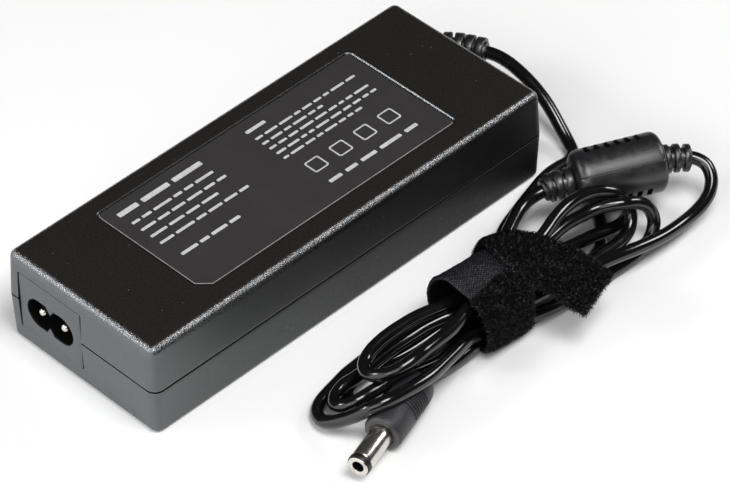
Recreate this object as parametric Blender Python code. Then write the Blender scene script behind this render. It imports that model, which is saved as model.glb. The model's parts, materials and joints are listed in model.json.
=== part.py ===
"""Switch-mode laptop power adapter, built as an assembly of separate pieces.

Frame: metres, +Z up, origin under the middle of the case, on the surface it
stands on.  +X runs along the case from the mains inlet (-X end) to the output
cord (+X end).  The folded output cord lies beside the case on its -Y side.
All lengths below are in millimetres and are turned into metres by MM.
"""
import math

import bmesh
import bpy
from mathutils import Matrix, Vector

MM = 0.001

# ---------------------------------------------------------------- case
CASE_L = 143.5          # length at the seam
CASE_W = 57.0           # width at the seam
CASE_H = 29.5
SEAM_Z = 15.0
WALL = 2.2
CORNER_R = 3.0          # upright corners
TOP_FILLET = 2.2
BASE_FILLET = 1.6
DRAFT = 0.75            # each half narrows by this much, per side
GAP = 0.3               # clearance between neighbouring pieces
LIP_H = 1.5             # tongue of the lower half inside the upper half
CORNER_SEG = 5

# ---------------------------------------------------------------- label
LABEL_X = (-46.2, 46.6)
LABEL_Y = (-20.3, 21.3)
LABEL_CUT = 3.6         # cut-off corner nearest the inlet
LABEL_SINK = 0.7        # depth of the recess that the label lies in

# ---------------------------------------------------------------- mains inlet
INLET_Y = (-0.2, 23.3)
INLET_Z = (5.6, 24.6)
INLET_DEPTH = 18.0
SOCKET_Y = 11.6         # middle of the two-pole socket
SOCKET_Z = 14.5
PIN_PITCH = 8.6
PIN_R = 1.2
LOBE_R = 4.35
WAIST_H = 4.7
SOCKET_DEPTH = 12.5

# ---------------------------------------------------------------- output cord
CORD_R = 1.85
BOOT_Y = 19.0
BOOT_NECK_R = 4.0
FERRITE_R = 8.3
FERRITE_LEN = 24.8
FERRITE_BORE = 2.5
PLUG_R = 5.35
PLUG_LEN = 21.6
BARREL_R = 3.1
BARREL_LEN = 11.0

# ---------------------------------------------------------------- strap
STRAP_T = 1.6
STRAP_R = 3.4           # outer corners of the band
STRAP_X = (6.0, 22.0)
STRAP_Y = (-70.5, -49.5)
STRAP_Z = (0.15, 23.5)
TAIL_W = 15.6


for old in list(bpy.data.objects):
    bpy.data.objects.remove(old, do_unlink=True)


# ================================================================ helpers
def material(name, colour, rough, metal=0.0):
    mat = bpy.data.materials.new(name)
    mat.use_nodes = True
    node = mat.node_tree.nodes["Principled BSDF"]
    node.inputs["Base Color"].default_value = (*colour, 1.0)
    node.inputs["Roughness"].default_value = rough
    node.inputs["Metallic"].default_value = metal
    return mat


CASE_BLACK = material("case_black", (0.018, 0.018, 0.019), 0.5)
INLET_BLACK = material("inlet_black", (0.016, 0.016, 0.017), 0.45)
LABEL_GREY = material("label_grey", (0.05, 0.05, 0.052), 0.42)
CORD_BLACK = material("cord_black", (0.009, 0.009, 0.010), 0.22)
MOULD_BLACK = material("mould_black", (0.014, 0.014, 0.015), 0.4)
STRAP_BLACK = material("strap_black", (0.010, 0.010, 0.011), 0.9)
NICKEL = material("nickel", (0.72, 0.70, 0.66), 0.2, 1.0)
TINNED = material("tinned", (0.66, 0.66, 0.66), 0.3, 1.0)
ALUMINIUM = material("aluminium", (0.60, 0.61, 0.62), 0.38, 1.0)
FERRITE_GREY = material("ferrite_grey", (0.045, 0.045, 0.048), 0.6)
COPPER = material("copper", (0.62, 0.30, 0.14), 0.35, 1.0)
TAPE_YELLOW = material("tape_yellow", (0.75, 0.55, 0.10), 0.45)
BOARD_TAN = material("board_tan", (0.42, 0.30, 0.12), 0.55)
SHEET_BLACK = material("sheet_black", (0.03, 0.03, 0.03), 0.5)
CHIP_BLACK = material("chip_black", (0.02, 0.02, 0.02), 0.5)
CAN_DARK = material("can_dark", (0.03, 0.035, 0.05), 0.35)
BOX_YELLOW = material("box_yellow", (0.68, 0.50, 0.08), 0.4)
DISC_BLUE = material("disc_blue", (0.05, 0.16, 0.42), 0.4)
DISC_GREEN = material("disc_green", (0.06, 0.20, 0.10), 0.4)
GLASSY = material("fuse_white", (0.75, 0.74, 0.70), 0.3)
WIRE_BROWN = material("wire_brown", (0.16, 0.07, 0.03), 0.4)
WIRE_BLUE = material("wire_blue", (0.05, 0.12, 0.40), 0.4)
WIRE_RED = material("wire_red", (0.45, 0.03, 0.03), 0.4)
WIRE_BLACK = material("wire_black", (0.02, 0.02, 0.02), 0.4)


def finish(name, bm, mat, smooth_angle=None):
    """Turn a bmesh in millimetres into a named object in metres."""
    bmesh.ops.recalc_face_normals(bm, faces=bm.faces)
    bmesh.ops.scale(bm, vec=(MM, MM, MM), verts=bm.verts)
    mesh = bpy.data.meshes.new(name)
    bm.to_mesh(mesh)
    bm.free()
    mesh.materials.append(mat)
    if smooth_angle:
        mesh.shade_smooth()
        mesh.set_sharp_from_angle(angle=math.radians(smooth_angle))
    obj = bpy.data.objects.new(name, mesh)
    bpy.context.scene.collection.objects.link(obj)
    return obj


def skin(bm, rings, cap_first=True, cap_last=True, loop=False):
    """Join rings of points with quads; close the ends with flat caps."""
    rows = [[bm.verts.new(p) for p in ring] for ring in rings]
    pairs = list(zip(rows[:-1], rows[1:]))
    if loop:
        pairs.append((rows[-1], rows[0]))
    for low, high in pairs:
        n = len(low)
        for i in range(n):
            j = (i + 1) % n
            bm.faces.new((low[i], low[j], high[j], high[i]))
    if not loop:
        if cap_first:
            bm.faces.new(list(reversed(rows[0])))
        if cap_last:
            bm.faces.new(rows[-1])
    return rows


def rounded_rectangle(hx, hy, radius, seg=CORNER_SEG, cx=0.0, cy=0.0):
    pts = []
    for k, (sx, sy) in enumerate(((1, 1), (-1, 1), (-1, -1), (1, -1))):
        for i in range(seg + 1):
            a = math.pi / 2 * (k + i / seg)
            pts.append((cx + sx * (hx - radius) + radius * math.cos(a),
                        cy + sy * (hy - radius) + radius * math.sin(a)))
    return pts


def case_ring(inset, z):
    radius = max(CORNER_R - inset, 0.5)
    return [(x, y, z) for x, y in rounded_rectangle(
        CASE_L / 2 - inset, CASE_W / 2 - inset, radius)]


def prism(name, outline, z0, z1, mat):
    """Extrude an outline in the XY plane from z0 to z1."""
    bm = bmesh.new()
    skin(bm, [[(x, y, z0) for x, y in outline], [(x, y, z1) for x, y in outline]])
    return finish(name, bm, mat)


def box(name, low, high, mat, bevel=0.0):
    bm = bmesh.new()
    (x0, y0, z0), (x1, y1, z1) = low, high
    outline = [(x0, y0), (x1, y0), (x1, y1), (x0, y1)]
    skin(bm, [[(x, y, z0) for x, y in outline], [(x, y, z1) for x, y in outline]])
    if bevel:
        bmesh.ops.bevel(bm, geom=bm.edges[:], offset=bevel, segments=1,
                        profile=0.5, affect="EDGES")
    return finish(name, bm, mat)


def frame_for(direction):
    d = Vector(direction).normalized()
    ref = Vector((0, 0, 1)) if abs(d.z) < 0.9 else Vector((1, 0, 0))
    u = d.cross(ref).normalized()
    return d, u, u.cross(d).normalized()


def turned(name, profile, origin, direction, mat, seg=20, loop=False, angle=35):
    """Turn a profile of (distance along the axis, radius) about an axis."""
    d, u, v = frame_for(direction)
    o = Vector(origin)
    rings = []
    for s, r in profile:
        rings.append([o + d * s + (u * math.cos(t) + v * math.sin(t)) * r
                      for t in (2 * math.pi * k / seg for k in range(seg))])
    bm = bmesh.new()
    skin(bm, rings, loop=loop)
    return finish(name, bm, mat, angle)


def smooth_path(points, step, closed=False):
    """Even points along a smooth curve that passes through the given points."""
    pts = [Vector(p) for p in points]
    ext = [pts[0] * 2 - pts[1]] + pts + [pts[-1] * 2 - pts[-2]]
    dense = []
    for i in range(1, len(ext) - 2):
        p0, p1, p2, p3 = ext[i - 1], ext[i], ext[i + 1], ext[i + 2]
        for k in range(24):
            t = k / 24
            dense.append(0.5 * ((2 * p1) + (p2 - p0) * t
                                + (2 * p0 - 5 * p1 + 4 * p2 - p3) * t * t
                                + (3 * p1 - p0 - 3 * p2 + p3) * t ** 3))
    dense.append(pts[-1])
    lengths = [0.0]
    for a, b in zip(dense[:-1], dense[1:]):
        lengths.append(lengths[-1] + (b - a).length)
    count = max(2, round(lengths[-1] / step))
    out, j = [], 0
    for k in range(count + 1):
        want = lengths[-1] * k / count
        while j < len(lengths) - 2 and lengths[j + 1] < want:
            j += 1
        span = lengths[j + 1] - lengths[j] or 1.0
        out.append(dense[j].lerp(dense[j + 1], (want - lengths[j]) / span))
    return out


def tube(name, points, radius, mat, step, resolution=2):
    curve = bpy.data.curves.new(name, "CURVE")
    curve.dimensions = "3D"
    curve.bevel_depth = radius * MM
    curve.bevel_resolution = resolution
    curve.use_fill_caps = True
    path = smooth_path(points, step)
    spline = curve.splines.new("POLY")
    spline.points.add(len(path) - 1)
    for pt, co in zip(spline.points, path):
        pt.co = (co.x * MM, co.y * MM, co.z * MM, 1.0)
    curve.materials.append(mat)
    obj = bpy.data.objects.new(name, curve)
    bpy.context.scene.collection.objects.link(obj)
    return obj


def sweep(name, path, stations, mat, seg=14, inner=None, angle=40):
    """Round body along a bent axis.

    stations: (fraction of the axis, radius) for the outside; inner: the same
    for a bore that is open at both ends.
    """
    pts = [Vector(p) for p in path]
    lengths = [0.0]
    for a, b in zip(pts[:-1], pts[1:]):
        lengths.append(lengths[-1] + (b - a).length)
    total = lengths[-1]
    tangents = []
    for i in range(len(pts)):
        a, b = pts[max(i - 1, 0)], pts[min(i + 1, len(pts) - 1)]
        tangents.append((b - a).normalized())
    _, u, _ = frame_for(tangents[0])
    us = []
    for t in tangents:
        u = (u - t * u.dot(t)).normalized()
        us.append(u.copy())

    def ring(f, r):
        s, i = f * total, 0
        while i < len(lengths) - 2 and lengths[i + 1] < s:
            i += 1
        k = (s - lengths[i]) / (lengths[i + 1] - lengths[i])
        p = pts[i].lerp(pts[i + 1], k)
        t = tangents[i].lerp(tangents[i + 1], k).normalized()
        a = us[i].lerp(us[i + 1], k)
        a = (a - t * a.dot(t)).normalized()
        b = t.cross(a)
        return [p + (a * math.cos(w) + b * math.sin(w)) * r
                for w in (2 * math.pi * j / seg for j in range(seg))]

    rings = [ring(f, r) for f, r in stations]
    bm = bmesh.new()
    if inner:
        rings += [ring(f, r) for f, r in reversed(inner)]
        skin(bm, rings, loop=True)
    else:
        skin(bm, rings)
    return finish(name, bm, mat, angle)


def as_cutter(obj):
    obj.hide_render = True
    obj.display_type = "WIRE"
    return obj


def boolean(obj, cutter, operation="DIFFERENCE"):
    mod = obj.modifiers.new(operation.lower() + "_" + cutter.name, "BOOLEAN")
    mod.operation = operation
    mod.solver = "EXACT"
    mod.object = cutter


# ================================================================ case halves
def fillet(inset, z, radius, up, seg=4):
    rings = []
    for k in range(1, seg + 1):
        a = math.pi / 2 * k / seg
        rings.append(case_ring(inset + radius * (1 - math.cos(a)),
                               z + up * radius * math.sin(a)))
    return rings


def top_cover():
    shoulder = CASE_H - TOP_FILLET
    lean = DRAFT * (shoulder - SEAM_Z) / (CASE_H - SEAM_Z)
    rim = SEAM_Z + GAP / 2
    step = rim + LIP_H + GAP
    rings = [case_ring(WALL + DRAFT, CASE_H - WALL),
             case_ring(WALL + 0.1, step),
             case_ring(WALL / 2 - GAP / 2, step),
             case_ring(WALL / 2 - GAP / 2, rim),
             case_ring(0.0, rim),
             case_ring(lean, shoulder)]
    rings += fillet(lean, shoulder, TOP_FILLET, 1)
    bm = bmesh.new()
    skin(bm, rings)
    return finish("top_cover", bm, CASE_BLACK, 30)


def bottom_cover():
    lean = DRAFT * (SEAM_Z - BASE_FILLET) / SEAM_Z
    rim = SEAM_Z - GAP / 2
    rings = [case_ring(WALL + DRAFT, WALL),
             case_ring(WALL + 0.1, rim + LIP_H),
             case_ring(WALL / 2 + GAP / 2, rim + LIP_H),
             case_ring(WALL / 2 + GAP / 2, rim),
             case_ring(0.0, rim),
             case_ring(lean, BASE_FILLET)]
    rings += fillet(lean, BASE_FILLET, BASE_FILLET, -1)
    bm = bmesh.new()
    skin(bm, rings)
    return finish("bottom_cover", bm, CASE_BLACK, 30)


def label_outline(margin, cut, radius):
    x0, x1 = LABEL_X[0] + margin, LABEL_X[1] - margin
    y0, y1 = LABEL_Y[0] + margin, LABEL_Y[1] - margin
    pts = []
    for cx, cy, start in ((x1 - radius, y1 - radius, 0), (x0 + radius, y1 - radius, 90)):
        for i in range(4):
            a = math.radians(start + 30 * i)
            pts.append((cx + radius * math.cos(a), cy + radius * math.sin(a)))
    pts += [(x0, y0 + cut), (x0 + cut, y0)]
    for i in range(4):
        a = math.radians(270 + 30 * i)
        pts.append((x1 - radius + radius * math.cos(a), y0 + radius + radius * math.sin(a)))
    return pts


top = top_cover()
bottom = bottom_cover()

recess = as_cutter(prism("cut_label", label_outline(0.0, LABEL_CUT, 0.4),
                         CASE_H - LABEL_SINK, CASE_H + 2.0, CASE_BLACK))
boolean(top, recess)
prism("rating_label", label_outline(0.5, LABEL_CUT, 1.8),
      CASE_H - LABEL_SINK + GAP, CASE_H - 0.1, LABEL_GREY)

window = as_cutter(box("cut_inlet", (-CASE_L / 2 - 3, INLET_Y[0] - GAP, INLET_Z[0] - GAP),
                       (-CASE_L / 2 + 6, INLET_Y[1] + GAP, INLET_Z[1] + GAP), CASE_BLACK))
boolean(top, window)
boolean(bottom, window)

gland = as_cutter(turned("cut_gland", [(0, BOOT_NECK_R + GAP), (12, BOOT_NECK_R + GAP)],
                         (CASE_L / 2 - 7, BOOT_Y, SEAM_Z), (1, 0, 0), CASE_BLACK, seg=20))
boolean(top, gland)
boolean(bottom, gland)

# Four posts in the lower half carry the circuit board.
posts = bmesh.new()
for px in (-46.5, 56.5):
    for py in (-22.0, 22.0):
        ring = rounded_rectangle(2.0, 2.0, 0.6, 2, px, py)
        skin(posts, [[(x, y, WALL - 0.4) for x, y in ring], [(x, y, 4.7) for x, y in ring]])
posts = as_cutter(finish("add_posts", posts, CASE_BLACK))
boolean(bottom, posts, "UNION")


# ================================================================ mains inlet
def socket_outline(seg=9):
    """Figure of eight: two round lobes joined by a waist, about (0, 0)."""
    half = PIN_PITCH / 2
    start = math.asin(WAIST_H / 2 / LOBE_R)
    pts = []
    for i in range(seg + 1):
        a = -(math.pi - start) + (2 * math.pi - 2 * start) * i / seg
        pts.append((half + LOBE_R * math.cos(a), LOBE_R * math.sin(a)))
    for i in range(seg + 1):
        a = start + (2 * math.pi - 2 * start) * i / seg
        pts.append((-half + LOBE_R * math.cos(a), LOBE_R * math.sin(a)))
    return pts


FACE_X = -CASE_L / 2 + 0.35
inlet = box("inlet_housing", (FACE_X, INLET_Y[0], INLET_Z[0]),
            (FACE_X + INLET_DEPTH, INLET_Y[1], INLET_Z[1]), INLET_BLACK, bevel=0.4)
cavity = bmesh.new()
eight = socket_outline()
skin(cavity, [[(FACE_X - 3, SOCKET_Y + a, SOCKET_Z + b) for a, b in eight],
              [(FACE_X + SOCKET_DEPTH, SOCKET_Y + a, SOCKET_Z + b) for a, b in eight]])
boolean(inlet, as_cutter(finish("cut_socket", cavity, INLET_BLACK)))
for side, sign in (("left", 1), ("right", -1)):
    y = SOCKET_Y + sign * PIN_PITCH / 2
    hole = as_cutter(turned("cut_pin_" + side, [(0, PIN_R + GAP), (10, PIN_R + GAP)],
                            (FACE_X + SOCKET_DEPTH - 1, y, SOCKET_Z), (1, 0, 0), INLET_BLACK, seg=12))
    boolean(inlet, hole)
    turned("inlet_pin_" + side,
           [(0, 0.45), (0.25, 0.85), (0.8, 1.12), (1.4, PIN_R), (20.5, PIN_R)],
           (FACE_X + 0.4, y, SOCKET_Z), (1, 0, 0), NICKEL, seg=12)

pin_end = FACE_X + 0.4 + 20.5 + GAP
for name, sign, mat, py in (("mains_lead_live", 1, WIRE_BROWN, 18.5),
                            ("mains_lead_neutral", -1, WIRE_BLUE, 5.0)):
    y = SOCKET_Y + sign * PIN_PITCH / 2
    tube(name, [(pin_end, y, SOCKET_Z), (pin_end + 2.2, y, SOCKET_Z - 0.4),
                (-46.6, (y + py) / 2, 11.4), (-45.9, py, 8.6), (-45.8, py, 7.0)],
         0.8, mat, 2.2)


# ================================================================ electronics
BOARD_Z = 5.0
BOARD_T = 1.6
DECK = BOARD_Z + BOARD_T + GAP          # underside of the fitted components

box("circuit_board", (-49.0, -24.6, BOARD_Z), (59.0, 24.6, BOARD_Z + BOARD_T), BOARD_TAN)
box("insulating_sheet", (-43.0, -24.0, WALL + GAP), (53.0, 24.0, WALL + GAP + 0.5), SHEET_BLACK)

turned("mains_fuse", [(0, 2.2), (0, 2.6), (3.0, 2.6), (3.0, 2.3), (9.0, 2.3), (9.0, 2.6),
                      (12.0, 2.6), (12.0, 2.2)][1:-1],
       (-43.5, -21.0, DECK + 2.6), (0, 1, 0), GLASSY, seg=12)
turned("inrush_thermistor", [(0, 3.2), (0.6, 4.2), (2.8, 4.2), (3.4, 3.2)],
       (-45.5, -3.0, DECK + 4.2), (1, 0, 0), DISC_GREEN, seg=14)
box("line_capacitor", (-37.5, -23.5, DECK), (-20.0, -15.5, DECK + 13.0), BOX_YELLOW, 0.5)

# Line filter choke: a square ferrite frame with one coil on its long leg.
choke = bmesh.new()
outer = [(-38.0, -9.5), (-20.0, -9.5), (-20.0, 6.5), (-38.0, 6.5)]
inner = [(-34.0, -5.5), (-24.0, -5.5), (-24.0, 2.5), (-34.0, 2.5)]
z0, z1 = DECK + 4.0, DECK + 8.0
skin(choke, [[(x, y, z0) for x, y in outer], [(x, y, z1) for x, y in outer],
             [(x, y, z1) for x, y in inner], [(x, y, z0) for x, y in inner]], loop=True)
finish("line_choke_core", choke, FERRITE_GREY)
coil = bmesh.new()
cx, cz = -22.0, DECK + 6.0
inner_ring = [(cx + a, b) for a, b in ((2.4, 2.4), (-2.4, 2.4), (-2.4, -2.4), (2.4, -2.4))]
outer_ring = [(cx + a, b) for a, b in ((4.4, 4.4), (-4.4, 4.4), (-4.4, -4.4), (4.4, -4.4))]
skin(coil, [[(x, -5.1, cz + z) for x, z in outer_ring], [(x, 2.1, cz + z) for x, z in outer_ring],
            [(x, 2.1, cz + z) for x, z in inner_ring], [(x, -5.1, cz + z) for x, z in inner_ring]],
     loop=True)
finish("line_choke_coil", coil, COPPER)

box("bridge_rectifier", (-14.0, -12.0, DECK), (-10.2, 6.0, DECK + 13.0), CHIP_BLACK, 0.4)
turned("bulk_capacitor", [(0, 8.2), (0.8, 9.0), (3.0, 9.0), (3.6, 8.6), (4.2, 9.0), (29.2, 9.0), (30.0, 8.2)],
       (-36.0, 15.6, DECK + 9.0), (1, 0, 0), CAN_DARK, seg=20)

# Transformer: a ferrite frame standing across the board, with the wound bobbin inside it.
core = bmesh.new()
outer = [(3.0, DECK + 0.5), (31.0, DECK + 0.5), (31.0, DECK + 19.0), (3.0, DECK + 19.0)]
inner = [(8.5, DECK + 4.0), (25.5, DECK + 4.0), (25.5, DECK + 15.5), (8.5, DECK + 15.5)]
ya, yb = -9.0, 3.0
skin(core, [[(x, ya, z) for x, z in outer], [(x, yb, z) for x, z in outer],
            [(x, yb, z) for x, z in inner], [(x, ya, z) for x, z in inner]], loop=True)
finish("transformer_core", core, FERRITE_GREY)
box("transformer_winding", (8.9, -14.0, DECK + 4.4), (25.1, 8.0, DECK + 15.1), TAPE_YELLOW, 1.2)

def l_plate(name, x0, x1, y_wall, inward, height, mat):
    """Upright heat-sink plate along a side wall, with a foot turned inwards on top."""
    t, foot = 1.8, 7.0
    ya, yb = y_wall, y_wall + inward * t
    yc = y_wall + inward * foot
    prof = [(ya, DECK), (yb, DECK), (yb, height - t), (yc, height - t), (yc, height), (ya, height)]
    bm = bmesh.new()
    skin(bm, [[(x0, y, z) for y, z in prof], [(x1, y, z) for y, z in prof]])
    return finish(name, bm, mat)


l_plate("primary_heat_sink", -16.0, 26.0, -25.2, 1, CASE_H - WALL - 1.0, ALUMINIUM)
l_plate("secondary_heat_sink", 4.0, 50.0, 25.2, -1, CASE_H - WALL - 1.0, ALUMINIUM)
box("power_transistor", (-8.0, -23.1, DECK + 3.0), (2.0, -18.8, DECK + 17.0), CHIP_BLACK, 0.4)
box("output_rectifier", (32.0, 18.8, DECK + 3.0), (42.0, 23.1, DECK + 17.0), CHIP_BLACK, 0.4)
turned("output_capacitor_front", [(0, 4.4), (0.6, 5.0), (15.4, 5.0), (16.0, 4.4)],
       (40.0, -17.0, DECK), (0, 0, 1), CAN_DARK, seg=14)
turned("output_capacitor_rear", [(0, 4.4), (0.6, 5.0), (15.4, 5.0), (16.0, 4.4)],
       (52.0, -17.0, DECK), (0, 0, 1), CAN_DARK, seg=14)
turned("output_choke", [(0, 6.8), (7.0, 6.8), (7.0, 3.2), (0, 3.2)],
       (44.5, -1.5, DECK), (0, 0, 1), COPPER, seg=16, loop=True)
turned("safety_capacitor", [(0, 3.4), (0.6, 4.4), (3.0, 4.4), (3.6, 3.4)],
       (33.5, 11.0, DECK + 4.4), (0, 1, 0), DISC_BLUE, seg=14)
box("optocoupler", (30.0, -21.5, DECK), (34.6, -15.1, DECK + 3.4), CHIP_BLACK, 0.3)
box("control_chip", (-2.0, -4.0, DECK), (2.0, 6.0, DECK + 2.4), CHIP_BLACK, 0.3)


# ================================================================ strain relief
def ribs(profile, first, pitch, count, high, low, width=0.62):
    """Add rounded ribs to a (distance, radius) profile."""
    for k in range(count):
        s = first + k * pitch
        w = pitch * width
        profile += [(s, low), (s + 0.12 * w, high), (s + 0.88 * w, high), (s + w, low)]
    return profile


boot_axis = smooth_path([(66.4, BOOT_Y, 15.0), (69.0, BOOT_Y, 15.0), (72.6, BOOT_Y - 0.2, 15.0),
                         (76.6, BOOT_Y - 1.7, 15.0), (79.7, BOOT_Y - 4.3, 15.0),
                         (81.6, BOOT_Y - 6.6, 15.0), (82.9, BOOT_Y - 8.8, 15.0),
                         (84.1, BOOT_Y - 11.0, 15.0), (85.1, BOOT_Y - 13.0, 15.0)], 1.0)
boot_len = sum((b - a).length for a, b in zip(boot_axis[:-1], boot_axis[1:]))
boot = [(0.0, 6.0), (2.0, 6.0), (2.0, BOOT_NECK_R), (6.7, BOOT_NECK_R), (6.9, 4.7), (8.2, 4.6), (8.5, 3.7)]
boot = ribs(boot, boot_len - 14.7, 3.0, 5, 4.2, 3.1, 0.76)
boot.append((boot_len, 2.9))
sweep("strain_relief", boot_axis, [(s / boot_len, r) for s, r in boot], MOULD_BLACK, seg=14)

for name, mat, dy, px, py in (("output_lead_positive", WIRE_RED, 1.6, 55.5, 12.5),
                              ("output_lead_negative", WIRE_BLACK, -1.6, 55.5, 7.0)):
    tube(name, [(66.0, BOOT_Y + dy, 15.0), (63.4, BOOT_Y + dy, 14.8), (59.5, (BOOT_Y + dy + py) / 2, 12.6),
                (56.2, py + 0.6, 9.4), (px, py, 7.1)], 0.9, mat, 2.4)


# ================================================================ output cord
lead_end = boot_axis[-1]
lead_dir = (boot_axis[-1] - boot_axis[-3]).normalized()
lead_start = lead_end + lead_dir * GAP
tube("cord_lead", [tuple(lead_start), tuple(lead_start + lead_dir * 4.5), (87.4, -4.0, 13.6), (87.0, -10.6, 11.2),
                   (85.4, -17.6, 7.6), (84.0, -23.6, 4.7), (83.8, -30.0, 2.5), (84.8, -37.0, 2.0), (84.8, -43.0, 2.0),
                   (82.4, -49.6, 2.0), (78.6, -55.6, 2.0), (75.8, -58.6, 2.2)], CORD_R, CORD_BLACK, 6.0)

tube("cord_rear_loop", [(41.4, -46.2, 3.4), (46.5, -41.6, 2.6), (53.5, -37.6, 2.2), (62.0, -34.4, 2.2),
                        (70.5, -32.0, 2.2), (76.4, -32.0, 2.2), (79.8, -36.0, 2.2), (79.2, -42.0, 2.2),
                        (75.0, -48.2, 2.05), (68.0, -53.0, 2.05), (62.0, -57.3, 2.2)],
     CORD_R, CORD_BLACK, 5.0)

# Ferrite bead: overmoulded sleeve with a ribbed boot at each end, on a loop of the cord.
f_left, f_right = Vector((63.91, -46.85, 13.5)), Vector((86.28, -57.58, 13.5))
f_dir = (f_right - f_left).normalized()
bead_axis = [Vector((56.46, -42.86, 12.4)), Vector((58.3, -43.5, 12.8)), Vector((60.9, -45.0, 13.3)), f_left]
bead_axis += [f_left + f_dir * (FERRITE_LEN * k / 5) for k in range(1, 6)]
f_end = bead_axis[-1]
bead_axis += [Vector((88.7, -58.9, 13.45)), Vector((91.2, -60.7, 13.3)), Vector((93.5, -62.5, 13.0))]
loop_in = [(41.8, -46.2, 10.8), (46.6, -43.8, 11.2), (51.8, -42.6, 11.7)]
loop_out = [(96.1, -65.3, 12.0), (96.9, -68.4, 10.2), (95.0, -71.2, 8.6), (91.2, -72.8, 7.2),
            (86.5, -73.2, 6.4), (82.0, -72.8, 6.0)]
loop_route = loop_in + [tuple(p) for p in bead_axis] + loop_out
whole = smooth_path(loop_route, 1.0)


def nearest(points, target):
    return min(range(len(points)), key=lambda i: (points[i] - target).length)


fine = whole[nearest(whole, bead_axis[0]):nearest(whole, bead_axis[-1]) + 1]
cum = [0.0]
for a, b in zip(fine[:-1], fine[1:]):
    cum.append(cum[-1] + (b - a).length)


def along(point):
    return cum[nearest(fine, point)]


total = cum[-1]
s0, s1 = along(f_left), along(f_end)
outer = [(0.0, 3.3)]
outer = ribs(outer, 0.6, 2.75, 3, 4.1, 3.1, 0.72)
outer += [(s0 - 0.4, 3.3), (s0, FERRITE_R - 1.2), (s0 + 0.5, FERRITE_R - 0.45), (s0 + 1.4, FERRITE_R),
          (s1 - 1.8, FERRITE_R), (s1 - 0.7, FERRITE_R - 0.5), (s1, FERRITE_R - 1.4), (s1 + 0.8, 3.5)]
outer = ribs(outer, s1 + 0.9, 2.6, 3, 3.95, 3.0)
outer.append((total, 3.3))
bore = [((s0 + 1.6) * k / 6, FERRITE_BORE) for k in range(7)]
bore += [(s0 + 1.6, 6.9), (s1 - 1.6, 6.9)]
bore += [(s1 - 1.6 + (total - s1 + 1.6) * k / 6, FERRITE_BORE) for k in range(7)]
sweep("ferrite_overmould", fine, [(s / total, r) for s, r in outer], MOULD_BLACK, seg=16,
      inner=[(s / total, r) for s, r in bore])
turned("ferrite_core", [(0, 6.5), (s1 - s0 - 4.0, 6.5), (s1 - s0 - 4.0, 2.6), (0, 2.6)],
       f_left + f_dir * 2.0, f_dir, FERRITE_GREY, seg=16, loop=True)

tube("cord_ferrite_loop", loop_route, CORD_R, CORD_BLACK, 3.4)

# The folded hank: one outline with round ends, narrowed where the strap holds it.
hank = [(37.0, -43.6), (42.4, -48.8), (60.0, -56.2), (61.6, -58.6), (73.4, -62.6), (76.6, -65.4),
        (78.2, -68.6), (78.0, -73.0), (74.0, -75.6), (66.0, -76.2), (52.0, -75.0), (36.0, -71.2), (23.4, -67.6),
        (4.6, -67.6), (-9.6, -60.8), (-14.2, -58.0), (-33.4, -64.2), (-38.4, -62.4), (-42.0, -58.8), (-42.8, -54.6),
        (-40.6, -50.4), (-36.0, -47.4), (-28.0, -46.0), (-14.0, -47.2), (4.6, -52.6), (23.4, -52.6), (30.0, -47.6)]
hank_obj = prism("cord_hank", list(reversed(hank)), STRAP_Z[0] + STRAP_T + GAP, 13.0, CORD_BLACK)


# ================================================================ output plug
plug_front, plug_tail = Vector((-34.2, -72.5, 5.5)), Vector((-13.596, -66.013, 5.5))
p_dir = (plug_tail - plug_front).normalized()
turned("plug_overmould",
       [(0.0, BARREL_R + 0.1 + GAP), (0.0, 4.9), (0.45, PLUG_R), (9.5, PLUG_R - 0.1), (18.0, PLUG_R - 0.3), (20.4, 4.6),
        (PLUG_LEN, 3.6), (PLUG_LEN, 2.3), (8.0, 2.3), (8.0, BARREL_R + 0.1 + GAP)],
       plug_front, p_dir, MOULD_BLACK, seg=20, loop=True)
turned("plug_barrel", [(-BARREL_LEN, BARREL_R), (5.0, BARREL_R), (5.0, 2.5), (-BARREL_LEN, 2.5)],
       plug_front, p_dir, NICKEL, seg=20, loop=True)
tip = -BARREL_LEN - GAP
turned("plug_tip_ring", [(tip, BARREL_R + 0.15), (tip - 1.4, BARREL_R + 0.15), (tip - 1.8, BARREL_R - 0.2), (tip - 1.8, 1.95), (tip, 1.95)],
       plug_front, p_dir, MOULD_BLACK, seg=20, loop=True)
turned("plug_inner_contact", [(tip - 1.5, 1.85), (4.5, 1.85), (4.5, 1.5), (tip - 1.5, 1.5)],
       plug_front, p_dir, NICKEL, seg=16, loop=True)
tube("cord_plug_lead", [tuple(plug_front + p_dir * 8.4), tuple(plug_front + p_dir * 14.0), tuple(plug_tail),
                        tuple(plug_tail + p_dir * 3.2)], CORD_R, CORD_BLACK, 4.0)


# ================================================================ hook-and-loop strap
def strap_ring(shrink, x):
    y0, y1 = STRAP_Y[0] + shrink, STRAP_Y[1] - shrink
    z0, z1 = STRAP_Z[0] + shrink, STRAP_Z[1] - shrink
    pts = rounded_rectangle((y1 - y0) / 2, (z1 - z0) / 2, STRAP_R - shrink, 4, (y0 + y1) / 2, (z0 + z1) / 2)
    return [(x, y, z) for y, z in pts]


band = bmesh.new()
skin(band, [strap_ring(0.0, STRAP_X[0]), strap_ring(0.0, STRAP_X[1]),
            strap_ring(STRAP_T, STRAP_X[1]), strap_ring(STRAP_T, STRAP_X[0])], loop=True)
finish("strap_band", band, STRAP_BLACK, 40)

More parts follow.
